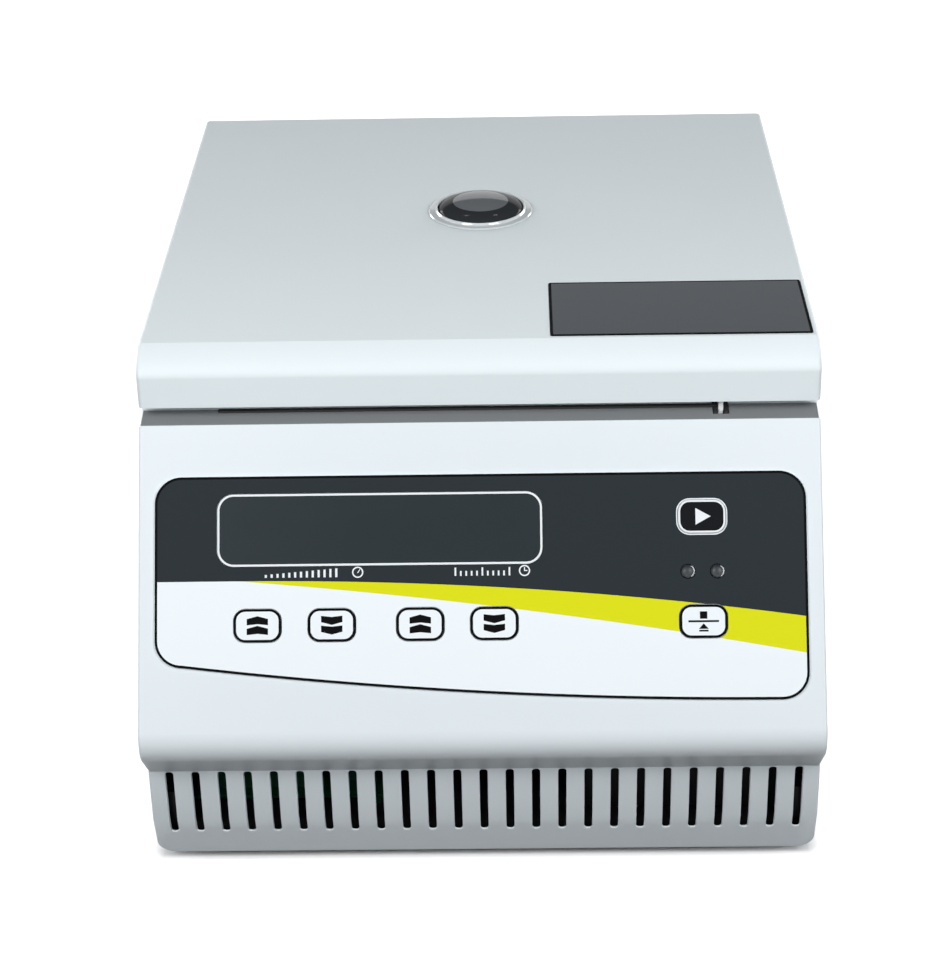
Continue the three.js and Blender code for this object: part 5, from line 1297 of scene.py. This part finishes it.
class MakePanel(bpy.types.Operator):
    """Printed film, window, lamps and keys"""

    bl_idname = "centrifuge.make_panel"
    bl_label = "Control panel"

    def execute(self, context):
        sizes = context.scene.centrifuge_panel
        self.film(sizes)
        self.window(sizes)
        for lamp in LAMPS:
            self.lamp(lamp)
        for key in KEYS:
            self.key(key, sizes)
        return {"FINISHED"}

    def film(self, sizes):
        outline = film_outline()
        top = [Vector((140, 60)), Vector((-140, 60))]
        field = field_edge() + top
        stripe = stripe_edge() + field_edge()[::-1]
        inner = drawn_in(outline, sizes.border / MM)
        finishes = ["film_paper", "overlay_film", "film_stripe", "ink_black", "white_ink_and_painted_highlight"]
        holes = [middle_rectangle(WINDOW["centre"], *WINDOW["size"], WINDOW["radius"])]
        holes += [middle_rectangle(PLACES[key], *KEY_SIZE, KEY_RADIUS) for key in KEYS]
        holes += [circle(PLACES[lamp], LAMP_RADIUS + 0.3, 24) for lamp in LAMPS]
        halo = middle_rectangle(PLACES["key_run"], *KEY_SIZE, KEY_RADIUS, -0.45)
        prints = [(outline, 3), (inner, 0), (field, 1), (stripe, 2), (halo, 4)]
        points, faces, found = printed(
            outline, holes, prints, SEAT, SEAT + FILM_THICKNESS, on_panel
        )
        found = self.with_border(points, faces, found, inner)
        film = shape("panel_film", (points, faces, found))
        place_piece(film, "base", "overlay_film", ["panel_overlay"], finishes)
        self.scales()

    def with_border(self, points, faces, found, inner):
        """Keeps the dark border over the stripe and the field."""
        kept = []
        for face, finish in zip(faces, found):
            middle = TO_PANEL @ (sum((points[i] for i in face), Vector((0, 0, 0))) / len(face))
            kept.append(3 if finish and not inside(middle, inner) else finish)
        return kept

    def scales(self):
        """Plain marks under the window: a rising scale, and a ruler with a clock face."""
        low, high = SEAT + FILM_THICKNESS - 0.02, SEAT + FILM_THICKNESS + 0.05
        foot, ring_inner, ring_outer = 4.9, 1.75, 2.3
        scale = [(-88 + index * 2.4, 0.9, 1.2 + 0.2 * index) for index in range(13)]
        ruler = [(-10.5 + index * 2.2, 0.7, 2.0 if index % 5 else 3.4) for index in range(11)]
        needle = [Vector(p) for p in ((-50.25, 6.5), (-49.85, 6.5), (-48.95, 7.9), (-49.2, 8.1))]
        hands = [rectangle(17.8, 18.2, 6.6, 8.2), rectangle(18.2, 19.2, 6.6, 7.0)]

        def printed_marks(outlines):
            return [prism(outline, low, high, on_panel) for outline in outlines]

        def bars(rows):
            return printed_marks([rectangle(u, u + wide, foot, foot + tall) for u, wide, tall in rows])

        dials = [
            self.ring((u, 6.8), ring_inner, ring_outer, low, high) for u in (-50.0, 18.0)
        ]
        bodies = [
            *bars(scale), dials[0], *printed_marks([needle]), *bars(ruler), dials[1],
            *printed_marks(hands),
        ]
        marks = shape("panel_marks", *bodies)
        place_piece(marks, "base", "overlay_film", (), ["white_ink_and_painted_highlight"])

    def ring(self, centre, inner, outer, low, high):
        profile = [(inner, low), (outer, low), (outer, high), (inner, high)]
        return lathe(profile, panel_axis(*centre), 32)

    def window(self, sizes):
        face = SEAT + FILM_THICKNESS
        outline = middle_rectangle(WINDOW["centre"], *WINDOW["size"], WINDOW["radius"], SEAT, 12)
        line = middle_rectangle(
            WINDOW["centre"], *WINDOW["size"], WINDOW["radius"], SEAT + sizes.window_line / MM, 12
        )
        pane = shape(
            "display_pane", printed(outline, [], [(line, 1)], face - 3, face, on_panel)
        )
        place_piece(pane, "base", "smoked_window", ["display_window"], ["white_ink_and_painted_highlight", "smoked_window"])

    def lamp(self, name):
        """A domed lamp with a painted highlight: a pale crescent on its right."""
        across, up, top = PLACES[name]
        face = SEAT + FILM_THICKNESS
        height = top - face
        radius = LAMP_RADIUS
        angles = [QUARTER * k / 10 for k in range(10)]
        dome = [(radius * math.cos(a), face + height * math.sin(a)) for a in angles]
        steps = 40
        points, faces, found = lathe(
            [(0, BOARD_FACE), (radius, BOARD_FACE), *dome, (0, top)], panel_axis(across, up), steps
        )
        for index in range(len(faces)):
            ring, step = divmod(index, steps)
            turn = abs((step + 0.5) * 360 / steps - 180)
            # painted highlight: these faces take the white finish as a crescent
            if 3 <= ring <= 5 and turn > 118 + 6 * abs(ring - 4):
                found[index] = 1
        lens = shape(f"{name}_lens", (points, faces, found))
        place_piece(lens, "base", "lamp_lens", [name], ["lamp_lens", "white_ink_and_painted_highlight"], smooth=60)

    def key(self, name, sizes):
        across, up, top = PLACES[name]
        centre = (across, up)
        rim, round_over, print_depth = 0.28, 0.12, 0.06
        plain_face, black, white = 0, 1, 2

        def outline(less):
            return middle_rectangle(centre, *KEY_SIZE, KEY_RADIUS, SEAT + less, 8)

        if name == "key_run":
            base, ink, line = "key_dark", white, 0.85
        else:
            base, ink, line = "key_white", black, sizes.key_line / MM
        prints = [(outline(0), ink), (outline(line), plain_face)]
        prints += [(mark, ink) for mark in icon(name, centre)]
        cap = shape(
            f"{name}_cap",
            printed(outline(round_over), [], prints, top - print_depth, top, on_panel),
            stacked(
                [(outline(0), KEY_FACE_LOW), (outline(0), top - rim),
                 (outline(0.05), top - round_over), (outline(round_over), top - print_depth)],
                on_panel, ink,
            ),
            prism(
                middle_rectangle(centre, 9, 6, 0.5), KEY_STEM_END, KEY_FACE_LOW + 0.2, on_panel
            ),
        )
        place_piece(cap, name, base, [name], [base, "ink_black", "white_ink_and_painted_highlight"], smooth=50)


def icon(name, centre):
    """A key's plain sign: two broad arrowheads, a play triangle, or a stop square with bars."""
    u, v = centre
    if name == "key_run":
        return [[Vector((u + x, v + y)) for x, y in ((-2.6, -3.4), (3.6, 0), (-2.6, 3.4))]]
    if name == "key_stop":
        square = rectangle(u - 1.5, u + 1.5, v + 1.0, v + 4.0, 0.2, 3)
        line = rectangle(u - 6.2, u + 6.2, v - 0.4, v + 0.4, 0.1, 3)
        bar = rectangle(u - 1.9, u + 1.9, v - 4.2, v - 3.5, 0.1, 3)
        arrow = [Vector((u + x, v + y)) for x, y in ((-2.0, -3.1), (2.0, -3.1), (0, -0.9))]
        return [square, line, arrow, bar]
    sign = 1 if name.endswith("up") else -1
    half, band, rise = 4.35, 2.55, 1.15
    marks = []
    for base in (-3.75, 0.2):
        points = [
            (-half, base), (0, base + rise * 0.4), (half, base), (half, base + band),
            (0, base + band + rise), (-half, base + band),
        ]
        marks.append([Vector((u + x, v + sign * y)) for x, y in points])
    return marks


def screw_source(radius, height, name="screw"):
    """A pan head with a cross recess, its seat at the origin, standing along Z."""
    dome = arc((0, 0), 1, 90, 20, 5)
    profile = [(0, 0), (radius, 0)]
    profile += [(radius * x, height * (0.35 + 0.65 * y)) for x, y in reversed(dome[1:])]
    profile += [(0, height)]
    head = shape(name, lathe(profile, along_z, 24))
    arm = radius * 0.62
    half = radius * 0.13
    outline = [
        Vector(p) for p in (
            (-arm, -half), (-half, -half), (-half, -arm), (half, -arm), (half, -half), (arm, -half),
            (arm, half), (half, half), (half, arm), (-half, arm), (-half, half), (-arm, half),
        )
    ]
    cross = shape("cross", prism(outline, height * 0.35, height + 1, along_z))
    return carve(head, cross)


def fasten(name, body, spots, radius=2.9, height=1.6, finish="zinc_steel"):
    """Screw heads at spots (place, facing, spin), all on one body."""
    mesh = bpy.data.meshes.new(name)
    mesh.from_pydata([Vector(place) * MM for place, _, _ in spots], [], [])
    facing = mesh.attributes.new("facing", "FLOAT_VECTOR", "POINT")
    facing.data.foreach_set("vector", [c for _, direction, _ in spots for c in direction])
    spin = mesh.attributes.new("spin", "FLOAT", "POINT")
    spin.data.foreach_set("value", [turn for _, _, turn in spots])
    carrier = bpy.data.objects.new(name, mesh)
    bpy.context.scene.collection.objects.link(carrier)
    screws = repeat("fasteners", name, screw_source(radius, height), finish, {}, carrier)
    place_piece(screws, body, finish, smooth=30)


class MakeBack(bpy.types.Operator):
    """Rear panel, power inlet, fuse drawer and rocker switch"""

    bl_idname = "centrifuge.make_back"
    bl_label = "Back"

    def execute(self, context):
        low, high = REAR_LOW, REAR_HIGH
        panel = shape(
            "rear_plate", prism(rectangle(low.x, high.x, low.z, high.z, 2), low.y, high.y, along_y)
        )
        louvre = prism(rectangle(-2, 2, 71, 127, 1.9, 6), low.y - OVERRUN, high.y + OVERRUN, along_y)
        louvres = repeat(
            "row", "louvres", shape("louvre", louvre), "painted_steel", {"Count": 9, "Pitch": 9 * MM}
        )
        inlet_x = (INLET_LOW.x + INLET_HIGH.x) / 2
        middle_z = (INLET_LOW.z + INLET_HIGH.z) / 2
        switch_x = (BEZEL_LOW.x + BEZEL_HIGH.x) / 2
        cuts = shape(
            "cut_outs",
            *[
                prism(
                    middle_rectangle((x, middle_z), wide, tall, 0.5),
                    low.y - OVERRUN, high.y + OVERRUN, along_y,
                )
                for x, wide, tall in ((inlet_x, 28.6, 47.6), (switch_x, 21.6, 28.6))
            ],
        )
        carve(panel, moved(louvres, x=-24), cuts)
        place_piece(panel, "base", "painted_steel", ["rear_panel"], bevel=0.2)
        self.inlet(inlet_x, middle_z)
        self.bezel(switch_x, middle_z)
        refined("fuse_drawer", "fuse_drawer", "black_plastic", 0.3)
        refined("switch_rocker", "switch_rocker", "black_plastic", 0.4)
        back = (0, 1, 0)
        spots = [((x, REAR_Y, z), back, 0.4 * i) for i, (x, z) in enumerate(
            [(-128, 30), (-128, 87), (-128, 144), (128, 30), (128, 87), (128, 144),
             (-50, 160.5), (50, 160.5)]
        )]
        fasten("rear_screws", "base", spots)
        face = INLET_HIGH.y
        spots = [((inlet_x + side * 16, face, middle_z), back, 0.9) for side in (-1, 1)]
        fasten("inlet_screws", "base", spots, 1.7, 0.9)
        return {"FINISHED"}

    def inlet(self, x, z):
        low, high = INLET_LOW, INLET_HIGH
        flange_low = high.y - 3
        wide, tall, flange = 28, 47, 4
        outline = middle_rectangle((x, z), wide + 2 * flange, tall + 2 * flange, 4)
        inlet = shape("power_socket", prism(outline, flange_low, high.y, along_y))
        outline = middle_rectangle((x, z), wide, tall, 1)
        body = shape("body", prism(outline, low.y, flange_low + 1, along_y))
        carve(inlet, body, operation="UNION")
        margin, socket_half, drawer_half = 3, 8, 6
        socket_z = z - tall / 2 + margin + socket_half
        drawer_z = z + tall / 2 - margin - drawer_half
        left, right, shoulder = x - 11.5, x + 11.5, socket_z + 3.5
        foot, head = socket_z - socket_half, socket_z + socket_half
        corners = [
            [left, foot, 1], [right, foot, 1], [right, shoulder, 1], [x + 7, head, 1],
            [x - 7, head, 1], [left, shoulder, 1],
        ]
        mouth = shape("mouth", prism(rounded(corners, 5), high.y - 15, high.y + OVERRUN, along_y))
        bay = shape(
            "bay",
            prism(middle_rectangle((x, drawer_z), 21.8, 12.8, 0.4), high.y - 17.4, high.y + 2, along_y),
        )
        carve(inlet, mouth, bay)
        place_piece(inlet, "base", "black_plastic", ["power_inlet"], bevel=0.35)
        pins = []
        for offset, lift in ((-7, -2), (0, 2), (7, -2)):
            outline = middle_rectangle((x + offset, socket_z + lift), 2, 5, 0.4, steps=3)
            tip = middle_rectangle((x + offset, socket_z + lift), 1.2, 4.2, 0.2, steps=3)
            pins.append(
                stacked(
                    [(outline, high.y - 17), (outline, high.y - 5.8), (tip, high.y - 5)], along_y
                )
            )
        contacts = shape("inlet_contacts", *pins)
        place_piece(contacts, "base", "zinc_steel", (), ["zinc_steel"])

    def bezel(self, x, z):
        low, high = BEZEL_LOW, BEZEL_HIGH
        frame_wide, frame_tall, step, wall = 26, 33, 2.5, 2.2
        outline = middle_rectangle((x, z), frame_wide, frame_tall, step)
        bezel = shape("switch_frame", prism(outline, high.y - 2, high.y, along_y))
        wide, tall = frame_wide - 2 * step, frame_tall - 2 * step
        outline = middle_rectangle((x, z), wide, tall, 0.6)
        body = shape("body", prism(outline, low.y, high.y - 1, along_y))
        carve(bezel, body, operation="UNION")
        outline = middle_rectangle((x, z), wide - 2 * wall, tall - 2 * wall, 0.4)
        well = shape("well", prism(outline, low.y + wall, high.y + OVERRUN, along_y))
        pivot_y = high.y - 3.5
        reach = frame_wide / 2
        bore = shape("bore", rod(1.8, x - reach, x + reach, sideways_axis(pivot_y, z), 24))
        carve(bezel, well, bore)
        place_piece(bezel, "base", "black_plastic", ["switch_bezel"], bevel=0.35)


class MakeBase(bpy.types.Operator):
    """Base plate, feet, their screws and the housing of the power supply; plate and housing are near black as
    painted shade
    """

    bl_idname = "centrifuge.make_base"
    bl_label = "Base"

    def execute(self, context):
        low, high = BASE_LOW, BASE_HIGH
        half = HALF_WIDTH - 2.5 - SEAT
        plate = shape(
            "floor_plate", prism(rectangle(-half, half, low.y, high.y, 5.5), low.z, high.z, along_z)
        )
        vent = prism(rectangle(-1.8, 1.8, -31, 31, 1.7, 6), low.z - OVERRUN, high.z + OVERRUN, along_z)
        vents = repeat(
            "row", "vents", shape("vent", vent), "painted_steel", {"Count": 7, "Pitch": 11 * MM}
        )
        carve(plate, moved(vents, y=CHAMBER_Y))
        # painted shade: the plate is near black, for the dark seen through the slots
        place_piece(plate, "base", "painted_steel", ["base_plate"], ["base_plate_painted_shade"], bevel=0.15)
        # painted shade: the power supply's housing is near black, for the dark seen through the slots
        refined("power_supply", "base", "zinc_steel", 0.3, ["inside_painted_shade"])
        down = (0, 0, -1)
        spots = []
        for name in ("foot_front_left", "foot_front_right", "foot_rear_left", "foot_rear_right"):
            spots.append((self.foot(name), down, 0.5 + 0.7 * len(spots)))
        fasten("foot_screws", "base", spots, 3.2, 1.5)
        bosses = [
            ((side * (HALF_WIDTH - BOSS_INSET), y, low.z), down, 0.3 + index)
            for side in (-1, 1)
            for index, y in enumerate(BOSSES_Y)
        ]
        fasten("base_screws", "base", bosses, 2.6, 1.4)
        return {"FINISHED"}

    def foot(self, name):
        low, high = box_mm(name)
        x, y = (low.x + high.x) / 2, (low.y + high.y) / 2
        profile = [(0, 3), (4.4, 3), (4.9, 2.6), (5.0, 0.6), (5.6, 0)]
        profile += [(11.8, 0), *arc((11.8, 1.2), 1.2, -75, 5, 6)]
        profile += [(11.3, high.z - 0.6), (10.8, high.z), (0, high.z)]
        axis = upright(x, y)
        turned_piece(f"{name}_rubber", profile, axis, "base", "rubber_black", name, 72, 40)
        return x, y, 3.0


class MakeHinges(bpy.types.Operator):
    """The two hinges and their screws"""

    bl_idname = "centrifuge.make_hinges"
    bl_label = "Hinges"

    def execute(self, context):
        base_spots, lid_spots = [], []
        back = (0, 1, 0)
        for side in ("left", "right"):
            low, high = box_mm(f"hinge_base_leaf_{side}")
            x = (low.x + high.x) / 2
            y, z = high.y - KNUCKLE_RADIUS, high.z - KNUCKLE_RADIUS
            start, end = x - LEAF_HALF_WIDTH, x + LEAF_HALF_WIDTH
            half_knuckle, gap = LEAF_HALF_WIDTH / 3, 0.2
            outer = [(start, x - half_knuckle - gap), (x + half_knuckle + gap, end)]
            middle = [(x - half_knuckle + gap, x + half_knuckle - gap)]
            self.leaf(f"hinge_base_leaf_{side}", "base", x, y, z, -1, outer)
            self.leaf(f"hinge_lid_leaf_{side}", "lid", x, y, z, 1, middle)
            radius, head = 1.6, 2.6
            profile = [
                (0, start), (1.3, start), (radius, x - 21.7), (radius, x + 22.3), (head, x + 22.3),
                (head, x + 23.2), (head - 0.6, x + 23.8), (0, x + 23.8),
            ]
            turned_piece(
                f"hinge_pin_{side}_bar", profile, sideways_axis(y, z), "base", "bright_steel",
                f"hinge_pin_{side}", 32,
            )
            face = y - LEAF_OUTER_FACE
            for offset in (-HINGE_SCREW_PITCH, 0, HINGE_SCREW_PITCH):
                turn = 0.3 * offset
                base_spots.append(((x + offset, face, z - 14), back, turn))
                lid_spots.append(((x + offset, face, z + 14), back, turn + 0.5))
        fasten("hinge_base_screws", "base", base_spots, 2.6, 1.3)
        fasten("hinge_lid_screws", "lid", lid_spots, 2.6, 1.3)
        return {"FINISHED"}

    def leaf(self, node, body, x, y, z, up, knuckles):
        """One leaf, above the pin (up 1) or below it (up -1), with its knuckles."""
        near, far = z + up * KNUCKLE_RADIUS, z + up * LEAF_REACH
        back_face, front_face = y - KNUCKLE_RADIUS, y - LEAF_OUTER_FACE
        outline = rectangle(x - LEAF_HALF_WIDTH, x + LEAF_HALF_WIDTH, *sorted((near, far)), 2)
        leaf = shape(f"{node}_plate", prism(outline, back_face, front_face, along_y))
        axis = sideways_axis(y, z)
        for start, end in knuckles:
            web = block((start, end), (back_face, front_face), sorted((z, near + up * 2.5)))
            barrel = rod(KNUCKLE_RADIUS, start, end, axis, 48, 0.25)
            for name, body_part in (("web", web), ("barrel", barrel)):
                carve(leaf, shape(name, body_part), operation="UNION")
        bore = rod(HINGE_BORE_RADIUS, x - 24, x + 24, axis, 32)
        carve(leaf, shape("bore", bore))
        place_piece(leaf, body, "zinc_steel", [node], smooth=30)


class MakeLock(bpy.types.Operator):
    """Latch hook, guide, lock and bolt"""

    bl_idname = "centrifuge.make_lock"
    bl_label = "Lock"

    def execute(self, context):
        # painted light: the hook takes a near-white finish so that it reads bright in the lid's shadow
        refined("latch_hook", "lid", "zinc_steel", 0.2, ["hook_painted_light"])
        # painted shade: the latch guide is near black, for the dark notch under the lid
        refined("latch_guide", "base", "black_plastic", 0.25, ["inside_painted_shade"])
        refined("lock_body", "base", "zinc_steel", 0.3)
        low, high = box_mm("lock_bolt")
        y, z = (low.y + high.y) / 2, (low.z + high.z) / 2
        pin, head = 2.4, 5
        collar = high.x - 4.2
        profile = [
            (0, low.x), (1.7, low.x), (pin, low.x + 0.8), (pin, collar), (4.6, collar),
            (head, high.x - 3.8), (head, high.x - 0.5), (4.5, high.x), (0, high.x),
        ]
        turned_piece(
            "lock_plunger", profile, sideways_axis(y, z), "lock_bolt", "bright_steel", "lock_bolt", 40
        )
        return {"FINISHED"}


class MakeInside(bpy.types.Operator):
    """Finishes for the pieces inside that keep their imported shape"""

    bl_idname = "centrifuge.make_inside"
    bl_label = "Inside"

    def execute(self, context):
        slots = {row["node"]: row["material_slot"] for row in frame["record"]["subparts"]}
        for name, node in frame["nodes"].items():
            if node.hide_render:
                continue
            node.data.materials.clear()
            node.data.materials.append(material(slots[name]))
        return {"FINISHED"}


# The stage, in metres: a round floor that bends up far away, pairs of soft lights and the camera
FLOOR_SIZE, FLOOR_BEND = 12.0, 2.5
FOOTPRINT = (0.138, 0.155, 0.0)
# painted shadow: the floor's glow at the edge of the dark area under the footprint, and how far that edge lies
SHADOW_EDGE_GLOW, PAINTED_SHADOW_REACH = 0.6, 0.007
LIGHT_PAIRS = [
    ("front", (0.573, -0.761, 0.67), 0.4, 4.5), ("high", (0.468, -0.621, 0.898), 0.45, 2.25),
    ("crown", (0.2, 0.45, 1.0), 0.06, 0.2), ("rear", (1.3, 1.1, 0.45), 0.8, 14.0),
]
AIM = Vector((0, 0, 0.12))
CAMERA_PLACE = Vector((0.016, -1.00226, 0.638))
CAMERA_LENS = 90.62
CAMERA_PITCH = math.radians(28.4)
CAMERA_YAW = math.radians(-1.19)
CAMERA_ROLL = math.radians(-1.22)


class MakeStage(bpy.types.Operator):
    """Floor, light and camera"""

    bl_idname = "centrifuge.make_stage"
    bl_label = "Stage"

    def execute(self, context):
        self.floor()
        self.light()
        self.camera(context)
        return {"FINISHED"}

    def floor(self):
        size, bend = FLOOR_SIZE / MM, FLOOR_BEND / MM
        cove = arc((size - bend, bend), bend, -90, 0, 16)
        thick = 20
        profile = [(0, -thick), (size + thick, -thick), (size + thick, 2 * bend), (size, 2 * bend)]
        floor = shape("floor", lathe([*profile, *cove[::-1], (0, 0)], along_z, 96))
        pale = bpy.data.materials.new("floor_pale")
        pale.use_nodes = True
        surface = pale.node_tree.nodes["Principled BSDF"]
        surface.inputs["Base Color"].default_value = (0.90, 0.91, 0.92, 1)
        surface.inputs["Roughness"].default_value = 0.9
        surface.inputs["Emission Strength"].default_value = 1.0
        tree = pale.node_tree
        # painted shadow: the floor's glow is dark under the footprint and rises to full with distance from it
        distance = object_place(tree)
        for operation, output, values in (
            ("ABSOLUTE", "Vector", {}), ("SUBTRACT", "Vector", {1: FOOTPRINT}),
            ("MAXIMUM", "Vector", {1: (0.0, 0.0, 0.0)}), ("LENGTH", "Value", {}),
        ):
            inputs = {0: distance, **values}
            step = add_node(tree, "ShaderNodeVectorMath", inputs, operation=operation)
            distance = step.outputs[output]
        shadow_ramp = add_node(tree, "ShaderNodeValToRGB", {"Fac": distance})
        shadow_ramp.color_ramp.elements.new(PAINTED_SHADOW_REACH).color = (*[SHADOW_EDGE_GLOW] * 3, 1)
        tree.links.new(shadow_ramp.outputs["Color"], surface.inputs["Emission Color"])
        floor.data.materials.append(pale)
        floor.visible_diffuse = False

    def light(self):
        world = bpy.data.worlds.new("studio")
        world.use_nodes = True
        sky = world.node_tree.nodes["Background"]
        sky.inputs["Color"].default_value = (0.94, 0.97, 1.0, 1)
        sky.inputs["Strength"].default_value = 0.03
        bpy.context.scene.world = world
        for side in (-1, 1):
            for pair in LIGHT_PAIRS:
                self.softbox(side, *pair)

    def softbox(self, side, name, place, size, power):
        """One of a pair of soft lights, on the left or the right."""
        lamp = bpy.data.lights.new(name, "AREA")
        lamp.shape = "SQUARE"
        lamp.size = size
        lamp.energy = power
        box = bpy.data.objects.new(name, lamp)
        box.location = Vector((side * place[0], place[1], place[2]))
        aim = AIM - box.location
        box.rotation_euler = aim.to_track_quat("-Z", "Y").to_euler()
        box.visible_camera = False
        bpy.context.scene.collection.objects.link(box)

    def camera(self, context):
        lens = bpy.data.cameras.new("camera")
        lens.lens = CAMERA_LENS
        lens.sensor_width = 36
        lens.clip_start = 0.01
        pitch, yaw, roll = CAMERA_PITCH, CAMERA_YAW, CAMERA_ROLL
        ahead = Vector(
            (math.sin(yaw) * math.cos(pitch), math.cos(yaw) * math.cos(pitch), -math.sin(pitch))
        )
        right = Vector((math.cos(yaw), -math.sin(yaw), 0))
        up = right.cross(ahead)
        across = right * math.cos(roll) + up * math.sin(roll)
        above = up * math.cos(roll) - right * math.sin(roll)
        turned = Matrix((across, above, -ahead)).transposed().to_4x4()
        camera = bpy.data.objects.new("camera", lens)
        camera.matrix_world = Matrix.Translation(CAMERA_PLACE) @ turned
        context.scene.collection.objects.link(camera)
        context.scene.camera = camera
        context.scene.view_settings.view_transform = "Standard"


MAKERS = [
    MakeStage, MakeCasing, MakeLid, MakeSight, MakeChamber, MakeRotor, MakePanel, MakeBack,
    MakeBase, MakeHinges, MakeLock, MakeInside,
]


class CentrifugePanel(bpy.types.Panel):
    """Sidebar list of the pieces and their sizes"""

    bl_idname = "VIEW3D_PT_centrifuge"
    bl_label = "Bench centrifuge"
    bl_space_type = "VIEW_3D"
    bl_region_type = "UI"
    bl_category = "Centrifuge"

    def draw(self, context):
        column = self.layout.column()
        for maker in MAKERS:
            column.operator(maker.bl_idname)
        for group in ("centrifuge_case", "centrifuge_panel", "centrifuge_colours"):
            settings = getattr(context.scene, group)
            for name in settings.bl_rna.properties.keys():
                if name not in ("rna_type", "name"):
                    column.prop(settings, name)


GROUP_CLASSES = {
    "centrifuge_case": CaseSizes, "centrifuge_panel": PanelSizes, "centrifuge_colours": Colours,
}


def register():
    for name, group in GROUP_CLASSES.items():
        bpy.utils.register_class(group)
        setattr(bpy.types.Scene, name, PointerProperty(type=group))
    for maker in MAKERS:
        bpy.utils.register_class(maker)
    bpy.utils.register_class(CentrifugePanel)


def unregister():
    bpy.utils.unregister_class(CentrifugePanel)
    for maker in reversed(MAKERS):
        bpy.utils.unregister_class(maker)
    for name, group in GROUP_CLASSES.items():
        delattr(bpy.types.Scene, name)
        bpy.utils.unregister_class(group)


def main():
    register()
    for maker in MAKERS:
        area, name = maker.bl_idname.split(".")
        getattr(getattr(bpy.ops, area), name)()


if __name__ == "__main__":
    main()
